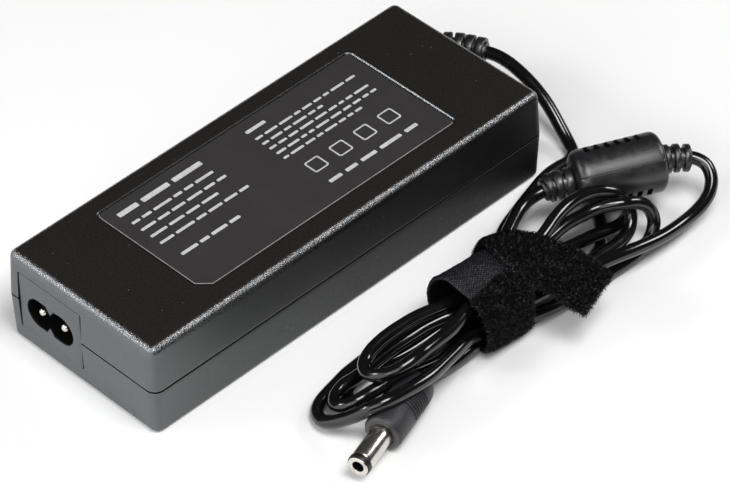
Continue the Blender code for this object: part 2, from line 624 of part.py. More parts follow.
# Free tail of the strap: a strip that leaves the band at its upper rear edge,
# runs over the bundle and drops off in front.  Its root is round about the
# line that it peels from.
PEEL = Vector((30.2, -51.0, 20.2))
PEEL_AXIS = Vector((-1.0, 0.0, 0.0))
tail_line = smooth_path([(30.2, -51.0, 20.2), (30.3, -56.0, 21.9), (30.6, -62.0, 22.3), (31.6, -68.0, 21.4),
                         (33.0, -74.0, 18.8), (34.6, -79.0, 15.6), (35.9, -82.6, 13.4)], 2.4)
tail = bmesh.new()
rings = []
for i, p in enumerate(tail_line):
    a, b = tail_line[max(i - 1, 0)], tail_line[min(i + 1, len(tail_line) - 1)]
    t = (b - a).normalized()
    side = Vector((1.0, 0.0, 0.0)).lerp(Vector((0.96, 0.28, 0.0)), i / (len(tail_line) - 1)).normalized()
    n = side.cross(t).normalized()
    if n.z < 0:
        n = -n
    half = side * (TAIL_W / 2)
    h = n * (STRAP_T / 2)
    rings.append([p - half - h, p + half - h, p + half + h, p - half + h])
# round root
p = tail_line[0]
t = (tail_line[1] - tail_line[0]).normalized()
n = Vector((1.0, 0.0, 0.0)).cross(t).normalized()
n = -n if n.z < 0 else n
half = Vector((TAIL_W / 2, 0, 0))
lead_in = []
for k in (2, 1):
    a = math.pi / 2 * k / 3
    c = p - t * (STRAP_T / 2 * math.sin(a))
    h = n * (STRAP_T / 2 * math.cos(a))
    lead_in.append([c - half - h, c + half - h, c + half + h, c - half + h])
skin(tail, lead_in + rings)
tail_obj = finish("strap_tail", tail, STRAP_BLACK)

# The tail turns about its root line, so its origin lies there.
hinge = bpy.data.objects.new("peel_line", None)
hinge.location = PEEL * MM
bpy.context.scene.collection.objects.link(hinge)
tail_obj.data.transform(Matrix.Translation(-PEEL * MM))
tail_obj.parent = hinge
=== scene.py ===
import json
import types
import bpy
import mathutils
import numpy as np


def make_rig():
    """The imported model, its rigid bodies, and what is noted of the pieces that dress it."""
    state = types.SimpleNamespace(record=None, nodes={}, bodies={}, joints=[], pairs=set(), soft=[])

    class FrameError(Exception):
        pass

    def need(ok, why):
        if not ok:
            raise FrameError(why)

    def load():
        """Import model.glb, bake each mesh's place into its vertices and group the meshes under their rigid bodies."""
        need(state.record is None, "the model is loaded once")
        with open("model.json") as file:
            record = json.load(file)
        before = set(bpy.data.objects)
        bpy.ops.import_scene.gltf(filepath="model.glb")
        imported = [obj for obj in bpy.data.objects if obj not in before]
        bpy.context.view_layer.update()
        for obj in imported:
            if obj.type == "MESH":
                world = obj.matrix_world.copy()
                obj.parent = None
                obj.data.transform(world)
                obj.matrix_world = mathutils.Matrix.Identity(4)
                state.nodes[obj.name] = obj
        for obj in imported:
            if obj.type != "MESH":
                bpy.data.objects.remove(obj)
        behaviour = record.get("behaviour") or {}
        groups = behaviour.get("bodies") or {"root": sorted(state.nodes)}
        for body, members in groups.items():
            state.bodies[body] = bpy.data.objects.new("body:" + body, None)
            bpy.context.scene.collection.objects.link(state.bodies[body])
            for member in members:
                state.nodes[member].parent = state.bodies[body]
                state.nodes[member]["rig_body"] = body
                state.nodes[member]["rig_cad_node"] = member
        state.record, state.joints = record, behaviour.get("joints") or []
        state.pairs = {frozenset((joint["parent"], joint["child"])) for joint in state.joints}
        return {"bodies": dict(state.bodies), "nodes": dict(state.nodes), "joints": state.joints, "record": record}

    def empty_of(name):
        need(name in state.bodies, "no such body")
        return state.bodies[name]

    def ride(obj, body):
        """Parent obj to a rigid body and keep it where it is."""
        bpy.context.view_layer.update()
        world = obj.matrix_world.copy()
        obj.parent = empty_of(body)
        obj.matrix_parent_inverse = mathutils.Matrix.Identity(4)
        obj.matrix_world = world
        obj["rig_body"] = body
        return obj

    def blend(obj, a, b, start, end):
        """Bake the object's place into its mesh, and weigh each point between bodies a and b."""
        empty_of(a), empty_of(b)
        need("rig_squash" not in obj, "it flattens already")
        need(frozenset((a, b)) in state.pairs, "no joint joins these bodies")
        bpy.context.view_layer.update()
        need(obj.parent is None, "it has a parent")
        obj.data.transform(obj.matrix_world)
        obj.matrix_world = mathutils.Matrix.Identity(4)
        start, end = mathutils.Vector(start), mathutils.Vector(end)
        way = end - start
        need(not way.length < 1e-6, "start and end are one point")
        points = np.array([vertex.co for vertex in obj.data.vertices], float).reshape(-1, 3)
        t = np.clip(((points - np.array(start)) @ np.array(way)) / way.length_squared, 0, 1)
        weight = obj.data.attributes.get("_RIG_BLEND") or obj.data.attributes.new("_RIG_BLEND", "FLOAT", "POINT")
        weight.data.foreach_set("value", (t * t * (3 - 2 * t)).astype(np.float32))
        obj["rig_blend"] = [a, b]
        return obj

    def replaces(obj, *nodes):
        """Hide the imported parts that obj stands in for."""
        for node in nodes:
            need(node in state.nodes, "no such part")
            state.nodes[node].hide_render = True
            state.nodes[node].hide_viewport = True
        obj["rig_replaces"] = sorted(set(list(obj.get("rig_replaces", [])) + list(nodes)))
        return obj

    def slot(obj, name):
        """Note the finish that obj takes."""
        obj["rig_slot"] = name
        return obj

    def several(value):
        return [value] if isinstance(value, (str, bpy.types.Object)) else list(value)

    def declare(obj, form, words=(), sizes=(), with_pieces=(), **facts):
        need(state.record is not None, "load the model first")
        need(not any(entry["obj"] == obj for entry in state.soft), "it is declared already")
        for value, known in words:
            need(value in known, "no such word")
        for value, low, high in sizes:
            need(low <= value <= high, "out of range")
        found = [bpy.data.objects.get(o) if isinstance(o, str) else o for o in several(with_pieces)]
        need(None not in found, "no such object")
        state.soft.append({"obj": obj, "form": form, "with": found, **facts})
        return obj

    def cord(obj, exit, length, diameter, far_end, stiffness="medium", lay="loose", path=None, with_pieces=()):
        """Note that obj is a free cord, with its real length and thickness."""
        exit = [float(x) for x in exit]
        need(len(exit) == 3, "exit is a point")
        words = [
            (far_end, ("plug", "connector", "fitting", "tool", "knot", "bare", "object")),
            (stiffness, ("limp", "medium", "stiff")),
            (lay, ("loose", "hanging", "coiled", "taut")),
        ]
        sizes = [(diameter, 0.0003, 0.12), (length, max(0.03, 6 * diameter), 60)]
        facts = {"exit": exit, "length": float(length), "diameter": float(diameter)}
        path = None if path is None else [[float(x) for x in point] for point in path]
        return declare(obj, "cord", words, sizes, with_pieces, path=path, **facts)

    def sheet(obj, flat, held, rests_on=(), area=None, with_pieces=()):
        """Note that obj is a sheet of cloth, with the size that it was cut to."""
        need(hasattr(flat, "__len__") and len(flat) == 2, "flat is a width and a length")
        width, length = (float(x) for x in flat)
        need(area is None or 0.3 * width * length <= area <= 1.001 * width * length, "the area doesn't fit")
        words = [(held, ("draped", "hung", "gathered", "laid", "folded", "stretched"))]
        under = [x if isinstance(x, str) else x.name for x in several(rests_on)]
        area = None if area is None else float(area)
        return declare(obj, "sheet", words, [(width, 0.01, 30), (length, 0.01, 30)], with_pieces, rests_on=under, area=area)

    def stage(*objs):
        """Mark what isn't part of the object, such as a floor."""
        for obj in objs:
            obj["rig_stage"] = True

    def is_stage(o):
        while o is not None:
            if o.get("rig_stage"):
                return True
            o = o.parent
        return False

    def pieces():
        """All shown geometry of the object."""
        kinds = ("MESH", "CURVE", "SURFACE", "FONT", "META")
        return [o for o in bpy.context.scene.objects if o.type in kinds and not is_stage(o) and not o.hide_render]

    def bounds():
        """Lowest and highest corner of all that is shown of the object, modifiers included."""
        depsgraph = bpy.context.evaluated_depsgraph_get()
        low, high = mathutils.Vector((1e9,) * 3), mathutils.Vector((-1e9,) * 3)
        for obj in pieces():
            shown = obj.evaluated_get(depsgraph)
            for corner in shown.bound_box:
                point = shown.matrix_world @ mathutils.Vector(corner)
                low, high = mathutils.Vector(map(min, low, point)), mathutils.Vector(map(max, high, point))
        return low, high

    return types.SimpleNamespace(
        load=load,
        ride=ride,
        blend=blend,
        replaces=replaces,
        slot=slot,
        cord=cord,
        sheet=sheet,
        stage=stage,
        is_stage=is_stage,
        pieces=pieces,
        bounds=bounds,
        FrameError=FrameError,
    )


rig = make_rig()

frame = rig.load()

import json
import math
import bpy
import numpy as np
from mathutils import Matrix, Vector
from mathutils.kdtree import KDTree

CAD_BOX = [list(v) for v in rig.bounds()]
MM = 0.001
scene = bpy.context.scene


# ---------------------------------------------------------------- camera

EYE = np.array((-616.435, -673.295, 834.011))
LOOK = np.array((0.512525, 0.532927, -0.673280))
RIGHT = np.array((0.710692, -0.703327, -0.015706))
UP = np.array((0.481907, 0.470445, 0.739220))

cam_data = bpy.data.cameras.new("camera")
cam_data.sensor_fit = "HORIZONTAL"
cam_data.sensor_width = 36.0
cam_data.lens = 4615.61 * 36.0 / 730.0
cam_data.clip_start = 0.05
cam_data.clip_end = 50.0
camera = bpy.data.objects.new("camera", cam_data)
camera.matrix_world = Matrix((
    (RIGHT[0], UP[0], -LOOK[0], EYE[0] * MM),
    (RIGHT[1], UP[1], -LOOK[1], EYE[1] * MM),
    (RIGHT[2], UP[2], -LOOK[2], EYE[2] * MM),
    (0, 0, 0, 1)))
scene.collection.objects.link(camera)
scene.camera = camera
scene.view_settings.view_transform = "Standard"
scene.view_settings.look = "None"


# ---------------------------------------------------------------- mesh tools (all lengths in mm)

def unit(v):
    v = np.asarray(v, float)
    return v / np.maximum(np.linalg.norm(v, axis=-1, keepdims=True), 1e-12)


def catmull(points, per=24):
    """Centripetal Catmull-Rom through the points."""
    p = np.asarray(points, float)
    e = np.vstack([2 * p[0] - p[1], p, 2 * p[-1] - p[-2]])
    out = []
    for i in range(1, len(e) - 2):
        p0, p1, p2, p3 = e[i - 1:i + 3]
        t1 = max(np.linalg.norm(p1 - p0), 1e-6) ** 0.5
        t2 = t1 + max(np.linalg.norm(p2 - p1), 1e-6) ** 0.5
        t3 = t2 + max(np.linalg.norm(p3 - p2), 1e-6) ** 0.5
        t = np.linspace(t1, t2, per, endpoint=False)[:, None]
        a1 = (t1 - t) / t1 * p0 + t / t1 * p1
        a2 = (t2 - t) / (t2 - t1) * p1 + (t - t1) / (t2 - t1) * p2
        a3 = (t3 - t) / (t3 - t2) * p2 + (t - t2) / (t3 - t2) * p3
        b1 = (t2 - t) / t2 * a1 + t / t2 * a2
        b2 = (t3 - t) / (t3 - t1) * a2 + (t - t1) / (t3 - t1) * a3
        out.append((t2 - t) / (t2 - t1) * b1 + (t - t1) / (t2 - t1) * b2)
    out.append(p[-1:])
    return np.vstack(out)


class Path:
    """A smooth line with a frame carried along it."""

    def __init__(self, points, up=(0, 0, 1), per=24, smooth=True):
        c = catmull(points, per) if smooth else np.asarray(points, float)
        s = np.concatenate([[0], np.cumsum(np.linalg.norm(np.diff(c, axis=0), axis=1))])
        n = max(int(s[-1] / 0.1), 20)
        self.length = s[-1]
        self.s = np.linspace(0, s[-1], n)
        self.p = np.stack([np.interp(self.s, s, c[:, k]) for k in range(3)], 1)
        self.t = unit(np.gradient(self.p, axis=0))
        u = np.zeros_like(self.t)
        w = np.asarray(up, float)
        for i in range(n):
            w = w - (w @ self.t[i]) * self.t[i]
            w /= np.linalg.norm(w)
            u[i] = w
        self.u = u
        self.v = np.cross(self.t, u)

    def at(self, s):
        s = np.asarray(s, float)
        q = np.clip(s, 0, self.length)
        pick = lambda a: np.stack([np.interp(q, self.s, a[:, k]) for k in range(3)], -1)
        t, u = unit(pick(self.t)), pick(self.u)
        u = unit(u - (u * t).sum(-1, keepdims=True) * t)
        return pick(self.p) + (s - q)[..., None] * t, t, u, np.cross(t, u)


class Build:
    """Collects vertices and faces of one piece."""

    def __init__(self):
        self.v, self.f, self.m, self.n = [], [], [], 0

    def add(self, verts, faces, mat=0):
        k = self.n
        self.v.append(np.asarray(verts, float).reshape(-1, 3))
        self.n += len(self.v[-1])
        self.f += [tuple(i + k for i in f) for f in faces]
        self.m += [mat] * len(faces)

    def object(self, name, mats, sharp=32.0):
        me = bpy.data.meshes.new(name)
        me.from_pydata((np.vstack(self.v) * MM).tolist(), [], self.f)
        for m in mats:
            me.materials.append(m)
        me.polygons.foreach_set("material_index", np.array(self.m, np.int32))
        me.update()
        ob = bpy.data.objects.new(name, me)
        scene.collection.objects.link(ob)
        finish_mesh(ob, sharp)
        return ob


def finish_mesh(ob, sharp=32.0):
    ob.data.shade_smooth()
    ob.data.set_sharp_from_angle(angle=math.radians(sharp))


def grid(rows, cols, wrap=True, closed=False):
    """Quads of a rows x cols lattice; wrap joins the last column to the first, closed the last row to the first."""
    out = []
    for i in range(rows if closed else rows - 1):
        a, b = i * cols, ((i + 1) % rows) * cols
        for j in range(cols if wrap else cols - 1):
            k = (j + 1) % cols
            out.append((a + j, a + k, b + k, b + j))
    return out


def lathe(path, rings, angles, shape=None, closed=False):
    """Sweeps rings (s, r, tag) along a path. shape(s, r, tag, angles) gives each ring's own outline."""
    s = np.array([k[0] for k in rings], float)
    p, t, u, v = path.at(s)
    a = np.asarray(angles, float)
    r = np.array([np.broadcast_to(shape(k[0], k[1], k[2] if len(k) > 2 else None, a) if shape else k[1], a.shape) for k in rings])
    verts = p[:, None] + r[..., None] * (np.cos(a)[None, :, None] * u[:, None] + np.sin(a)[None, :, None] * v[:, None])
    n, m = len(rings), len(a)
    faces = grid(n, m, True, closed)
    if not closed:
        faces.append(tuple(range(m))[::-1])
        faces.append(tuple((n - 1) * m + j for j in range(m)))
    return verts.reshape(-1, 3), faces


def turn(n=48, marks=()):
    """Angles round the circle, with close pairs at each mark so that a step there stays crisp."""
    a = list(np.linspace(0, 2 * math.pi, n, endpoint=False))
    e = 0.012
    for m in marks:
        a = [x for x in a if abs((x - m + math.pi) % (2 * math.pi) - math.pi) > 2.2 * e]
        a += [(m - e) % (2 * math.pi), (m + e) % (2 * math.pi)]
    return np.array(sorted(a))


def apart(a, centre):
    return np.abs((a - centre + math.pi) % (2 * math.pi) - math.pi)


def rounded(x0, x1, y0, y1, r, seg=8, lead=0.5, cut=None):
    """Rounded rectangle, counter-clockwise. lead puts a point on each straight beside its corner; cut is the bevel of the corner at x0, y0."""
    out = []
    for cx, cy, a0, k in ((x1 - r, y1 - r, 0, 1), (x0 + r, y1 - r, 90, 1), (x0 + r, y0 + r, 180, 0), (x1 - r, y0 + r, 270, 1)):
        if cut and not k:
            out += [(x0, y0 + cut + lead), (x0, y0 + cut), (x0 + cut, y0), (x0 + cut + lead, y0)]
            continue
        a = [math.radians(a0 + 90 * i / seg) for i in range(seg + 1)]
        arc = [(cx + r * math.cos(b), cy + r * math.sin(b)) for b in a]
        pre = (arc[0][0] + lead * math.sin(a[0]), arc[0][1] - lead * math.cos(a[0]))
        post = (arc[-1][0] - lead * math.sin(a[-1]), arc[-1][1] + lead * math.cos(a[-1]))
        out += [pre] + arc + [post]
    return np.array(out)


def loft(outlines, heights, up=True):
    """Closed skin through outlines of equal count at the given heights; up tells whether the stack starts at the bottom."""
    m = len(outlines[0])
    verts = np.vstack([np.column_stack([o, np.full(m, h)]) for o, h in zip(outlines, heights)])
    n = len(outlines)
    faces = grid(n, m)
    if not up:
        faces = [f[::-1] for f in faces]
    first, last = tuple(range(m)), tuple((n - 1) * m + j for j in range(m))
    faces += [first[::-1], last] if up else [first, last[::-1]]
    return verts, faces


def solid(name, verts, faces):
    b = Build()
    b.add(verts, faces)
    return b.object(name, [])


def carve(ob, cutters):
    """Cuts the cutters out of ob and removes them."""
    for c in cutters:
        m = ob.modifiers.new("cut", "BOOLEAN")
        m.operation, m.solver, m.object = "DIFFERENCE", "EXACT", c
    bpy.context.view_layer.update()
    me = bpy.data.meshes.new_from_object(ob.evaluated_get(bpy.context.evaluated_depsgraph_get()))
    ob.modifiers.clear()
    old, ob.data = ob.data, me
    name = old.name
    bpy.data.meshes.remove(old)
    me.name = name
    for c in cutters:
        m = c.data
        bpy.data.objects.remove(c)
        bpy.data.meshes.remove(m)


# ---------------------------------------------------------------- materials

class Paint:
    """A node material on the Principled shader, measured in the object's own metres."""

    def __init__(self, name, **constants):
        self.mat = bpy.data.materials.new(name)
        self.mat.use_nodes = True
        self.tree = self.mat.node_tree
        self.bsdf = self.tree.nodes["Principled BSDF"]
        self.space = self.new("ShaderNodeTexCoord").outputs["Object"]
        for k, v in constants.items():
            self.bsdf.inputs[k.replace("_", " ")].default_value = v

    def new(self, kind, **props):
        n = self.tree.nodes.new(kind)
        for k, v in props.items():
            setattr(n, k, v)
        return n

    def wire(self, node, **inputs):
        for k, v in inputs.items():
            s = node.inputs[k.replace("_", " ")] if not k.startswith("i") or not k[1:].isdigit() else node.inputs[int(k[1:])]
            if hasattr(v, "is_output") or isinstance(v, bpy.types.NodeSocket):
                self.tree.links.new(v, s)
            else:
                s.default_value = v
        return node

    def noise(self, scale, detail=2.0, rough=0.5, vector=None):
        n = self.wire(self.new("ShaderNodeTexNoise"), Vector=vector or self.space, Scale=scale, Detail=detail, Roughness=rough)
        return n.outputs["Fac"]

    def cells(self, scale, feature="F1", output="Distance", vector=None, random=1.0):
        n = self.wire(self.new("ShaderNodeTexVoronoi", feature=feature), Vector=vector or self.space, Scale=scale, Randomness=random)
        return n.outputs[output]

    def math(self, op, a, b=0.0, clamp=False):
        n = self.new("ShaderNodeMath", operation=op, use_clamp=clamp)
        return self.wire(n, i0=a, i1=b).outputs[0]

    def span(self, value, a, b, c, d):
        n = self.wire(self.new("ShaderNodeMapRange"), Value=value)
        for k, v in (("From Min", a), ("From Max", b), ("To Min", c), ("To Max", d)):
            n.inputs[k].default_value = v
        return n.outputs["Result"]

    def ramp(self, value, stops):
        n = self.wire(self.new("ShaderNodeValToRGB"), Fac=value)
        e = n.color_ramp.elements
        while len(e) < len(stops):
            e.new(0.5)
        for k, (pos, c) in zip(e, stops):
            k.position = pos
            k.color = (*c, 1.0)
        return n.outputs["Color"]

    def mix(self, fac, a, b, mode="MIX"):
        n = self.new("ShaderNodeMix", data_type="RGBA", blend_type=mode)
        for sock, v in ((n.inputs[0], fac), (n.inputs[6], a), (n.inputs[7], b)):
            if isinstance(v, bpy.types.NodeSocket):
                self.tree.links.new(v, sock)
            else:
                sock.default_value = v if isinstance(v, float) else (*v, 1.0)
        return n.outputs[2]

    def bump(self, height, strength, distance, normal=None):
        n = self.wire(self.new("ShaderNodeBump"), Height=height, Strength=strength, Distance=distance)
        if normal is not None:
            self.tree.links.new(normal, n.inputs["Normal"])
        return n.outputs["Normal"]

    def set(self, **outs):
        for k, v in outs.items():
            self.tree.links.new(v, self.bsdf.inputs[k.replace("_", " ")])
        return self.mat


def plain(name, dark, light, rough, scale, spread=0.06, metal=0.0, grain=0.1, depth=0.00005, fine=3000.0, spec=0.5):
    """Moulded, coated or metal stock: blotches of colour, uneven gloss and a fine skin."""
    p = Paint(name, Metallic=metal, Specular_IOR_Level=spec)
    n = p.noise(scale, 4.0, 0.6)
    return p.set(Base_Color=p.ramp(n, [(0.3, dark), (0.7, light)]),
                 Roughness=p.span(p.noise(scale * 3.1, 3.0), 0.3, 0.7, rough - spread, rough + spread),
                 Normal=p.bump(p.noise(fine, 2.0), grain, depth))


def case_paint(name, tone=1.0, coarse=1.0):
    """Spark-textured black plastic: a fine grain that is less rough along the top edges, with painted glints (bright
    specks here and there, pale flecks along two top edges) and painted shade dimming the front wall's reflection
    towards the cord end.
    """
    p = Paint(name, Specular_IOR_Level=0.95, IOR=1.80)
    place = p.wire(p.new("ShaderNodeSeparateXYZ"), Vector=p.space).outputs
    z = place["Z"]
    edge = p.math("MULTIPLY", p.span(z, 0.0268, 0.0280, 0.0, 1.0), p.span(z, 0.02940, 0.02947, 1.0, 0.0))
    outer = p.math("MAXIMUM", p.span(p.math("ABSOLUTE", place["X"]), 0.0672, 0.0682, 0.0, 1.0), p.span(p.math("ABSOLUTE", place["Y"]), 0.0240, 0.0250, 0.0, 1.0))
    edge = p.math("MULTIPLY", edge, outer)
    base = p.ramp(p.noise(95.0, 4.0, 0.6), [(0.3, (0.0036 * tone, 0.0032 * tone, 0.0030 * tone)), (0.7, (0.0050 * tone, 0.0045 * tone, 0.0043 * tone))])
    # painted glints: sparse bright specks and fainter fine ones are mixed into the base colour
    glint_speck = p.math("MULTIPLY", p.span(p.cells(430.0), 0.045, 0.085, 1.0, 0.0), p.span(p.noise(160.0, 1.0), 0.54, 0.60, 0.0, 1.0), clamp=True)
    fine_glint = p.math("MULTIPLY", p.span(p.cells(1150.0), 0.10, 0.17, 1.0, 0.0), p.span(p.noise(620.0, 1.0), 0.56, 0.64, 0.0, 1.0), clamp=True)
    colour = p.mix(fine_glint, p.mix(glint_speck, base, (0.150, 0.145, 0.142)), (0.036, 0.034, 0.034))
    # painted glint: pale flecks are painted along the top edges of the front and of the inlet end
    edge_glint_band = p.math("MULTIPLY", p.span(z, 0.0283, 0.0289, 0.0, 1.0), p.span(z, 0.02925, 0.02946, 1.0, 0.0), clamp=True)
    edge_glint_band = p.math("MULTIPLY", edge_glint_band, p.math("MAXIMUM", p.span(place["X"], -0.0686, -0.0696, 0.0, 1.0), p.span(place["Y"], -0.0254, -0.0264, 0.0, 1.0)))
    glint_flecks = p.math("MULTIPLY", p.span(p.noise(3900.0, 1.0), 0.50, 0.62, 0.0, 1.0), p.span(p.noise(240.0, 2.0), 0.3, 0.7, 0.6, 1.0), clamp=True)
    colour = p.mix(p.math("MULTIPLY", edge_glint_band, glint_flecks), colour, (0.50, 0.51, 0.54))
    grain = p.noise(3000.0 / coarse, 2.0, 0.6)
    pits = p.cells(1500.0 / coarse)
    fine = p.span(p.noise(1900.0, 2.0), 0.3, 0.7, 0.26, 0.38)
    rough = p.math("MULTIPLY", p.math("ADD", fine, p.span(z, 0.0262, 0.0285, 0.15, 0.0)), p.span(edge, 0.0, 1.0, 1.0, 0.62))
    first = p.bump(grain, p.span(edge, 0.0, 1.0, 0.30, 1.0), 0.00012)
    face = p.wire(p.new("ShaderNodeSeparateXYZ"), Vector=p.new("ShaderNodeTexCoord").outputs["Normal"]).outputs
    # painted shade: the specular tint dims the front wall's reflection step by step towards the cord end; the other
    # sides take a bluish and the top a warm specular tint
    gloss = p.ramp(p.span(place["X"], -0.069, 0.069, 0.0, 1.0), [(0.0, (0.76, 0.79, 0.81)), (0.22, (0.46, 0.48, 0.49)), (0.5, (0.18, 0.19, 0.19)), (0.8, (0.055, 0.055, 0.055)), (1.0, (0.03, 0.03, 0.03))])
    tint = p.mix(p.span(face["Y"], -0.45, -0.92, 0.0, 1.0), (0.90, 0.955, 1.0), gloss)
    tint = p.mix(p.span(face["Z"], 0.75, 0.98, 0.0, 1.0), tint, (1.0, 0.93, 0.90))
    return p.set(Base_Color=colour, Roughness=rough, Specular_Tint=tint, Normal=p.bump(pits, p.span(edge, 0.0, 1.0, 0.15, 0.7), 0.00008, first))


CASE = case_paint("case_plastic")
INLET = case_paint("inlet_plastic", 1.15, 0.7)
MOULD = plain("moulded_black", (0.0048, 0.0049, 0.0062), (0.0082, 0.0083, 0.0102), 0.37, 160.0, 0.07, grain=0.60, depth=0.00007, fine=2300.0, spec=1.0)
# painted shade: darker material for the insides of the bites
BITE = plain("moulded_bite", (0.0022, 0.0022, 0.0026), (0.0036, 0.0036, 0.0042), 0.5, 160.0, 0.07, grain=0.4, depth=0.00006, fine=2300.0, spec=0.30)
MATT = plain("moulded_matt", (0.0190, 0.0184, 0.0215), (0.0300, 0.0290, 0.0340), 0.48, 1900.0, 0.08, grain=0.9, depth=0.00010, fine=2100.0, spec=0.5)
# painted shade: near-black material for the insides of the seam, the inlet socket and the plug's bore
RECESS_SHADE = plain("socket_black", (0.0012, 0.0012, 0.0012), (0.0022, 0.0022, 0.0022), 0.6, 300.0, 0.05, grain=0.2, depth=0.00004, spec=0.15)
LABEL = plain("label_film", (0.0300, 0.0278, 0.0287), (0.0350, 0.0328, 0.0337), 0.48, 60.0, 0.05, grain=0.10, depth=0.00002, fine=4200.0, spec=0.4)
PRINT = plain("label_ink", (0.48, 0.48, 0.49), (0.62, 0.62, 0.63), 0.5, 700.0, 0.05, grain=0.1, depth=0.00001, fine=5000.0, spec=0.4)
# painted highlight: pale material for the step round the label's near edges
EDGE_HIGHLIGHT = plain("label_edge", (0.20, 0.20, 0.20), (0.30, 0.30, 0.30), 0.45, 500.0, 0.05, grain=0.1, depth=0.00001, fine=5000.0)
NICKEL = plain("nickel_plate", (0.60, 0.575, 0.54), (0.76, 0.73, 0.69), 0.24, 260.0, 0.03, metal=1.0, grain=0.03, depth=0.00002, fine=1400.0)
TIP = plain("tip_plastic", (0.006, 0.006, 0.006), (0.011, 0.011, 0.011), 0.34, 400.0, 0.06, grain=0.15, depth=0.00003)


def cord_paint():
    """Glossy jacket: nearly black, faintly waxy, with shallow waves left by drawing it."""
    p = Paint("cord_jacket", Specular_IOR_Level=0.72)
    base = p.ramp(p.noise(70.0, 3.0), [(0.3, (0.0026, 0.0025, 0.0027)), (0.7, (0.0042, 0.0040, 0.0042))])
    rough = p.span(p.noise(240.0, 3.0, 0.6), 0.3, 0.7, 0.11, 0.18)
    wave = p.bump(p.noise(190.0, 2.0), 0.10, 0.0004)
    return p.set(Base_Color=base, Roughness=rough, Normal=p.bump(p.noise(2400.0, 1.0), 0.06, 0.00003, wave))


CORD = cord_paint()


def strip_axes(p):
    uv = p.new("ShaderNodeUVMap", uv_map="strip").outputs["UV"]
    sep = p.wire(p.new("ShaderNodeSeparateXYZ"), Vector=uv)
    return uv, sep.outputs["X"], sep.outputs["Y"]


def weave_paint():
    """Plain weave tape, threads about half a millimetre apart, with a painted sheen of pale grey on the thread crowns
    that fades out as painted shade over the back of the ring.
    """
    p = Paint("strap_weave", Specular_IOR_Level=0.30)
    uv, a, b = strip_axes(p)
    k = 2 * math.pi / 0.95
    sa, sb = p.math("SINE", p.math("MULTIPLY", a, k)), p.math("SINE", p.math("MULTIPLY", b, k * 1.12))
    knit = p.math("MULTIPLY_ADD", p.math("MULTIPLY", sa, sb), 0.5)
    p.tree.nodes[-1].inputs[2].default_value = 0.5
    fuzz = p.noise(1700.0, 3.0, 0.75)
    h = p.math("ADD", p.math("MULTIPLY", knit, 0.6), p.math("MULTIPLY", fuzz, 0.7))
    # painted sheen: the thread crowns are painted pale grey
    crown_sheen_shade = p.math("MULTIPLY", p.span(knit, 0.50, 0.85, 0.0, 1.0), p.span(fuzz, 0.44, 0.66, 0.0, 1.0), clamp=True)
    y = p.wire(p.new("ShaderNodeSeparateXYZ"), Vector=p.space).outputs["Y"]
    # painted shade: the crown sheen fades out over the back of the ring
    crown_sheen_shade = p.math("MULTIPLY", crown_sheen_shade, p.span(y, -0.0545, -0.0520, 1.0, 0.06))
    colour = p.mix(crown_sheen_shade, p.ramp(fuzz, [(0.3, (0.0008, 0.0008, 0.0012)), (0.7, (0.0034, 0.0035, 0.0050))]), (0.085, 0.088, 0.112))
    rough = p.span(fuzz, 0.3, 0.7, 0.62, 0.42)
    return p.set(Base_Color=colour, Roughness=rough, Normal=p.bump(h, 0.8, 0.00018))


def nap_paint(name, dark, light, scale, rough, spec=0.5):
    """Looped pile: dark at the roots, with paler threads here and there."""
    p = Paint(name, Specular_IOR_Level=spec)
    n = p.noise(scale, 3.0, 0.7)
    colour = p.ramp(n, [(0.48, dark), (0.54, tuple(0.75 * x + 0.25 * y for x, y in zip(dark, light))), (0.61, light)])
    return p.set(Base_Color=colour, Roughness=p.span(n, 0.3, 0.7, rough - 0.1, rough + 0.1), Normal=p.bump(p.noise(scale * 1.7, 2.0), 0.8, 0.0002))


WEAVE = weave_paint()
NAP = nap_paint("strap_nap", (0.0003, 0.0003, 0.0004), (0.0009, 0.0009, 0.0011), 1700.0, 0.9, 0.10)
FIBRE = nap_paint("strap_fibre", (0.0004, 0.0004, 0.0005), (0.0070, 0.0071, 0.0082), 1300.0, 0.45, 0.10)
GLINT = nap_paint("strap_glint", (0.0120, 0.0122, 0.0140), (0.0950, 0.0958, 0.1050), 1100.0, 0.42, 0.25)


# ---------------------------------------------------------------- cord

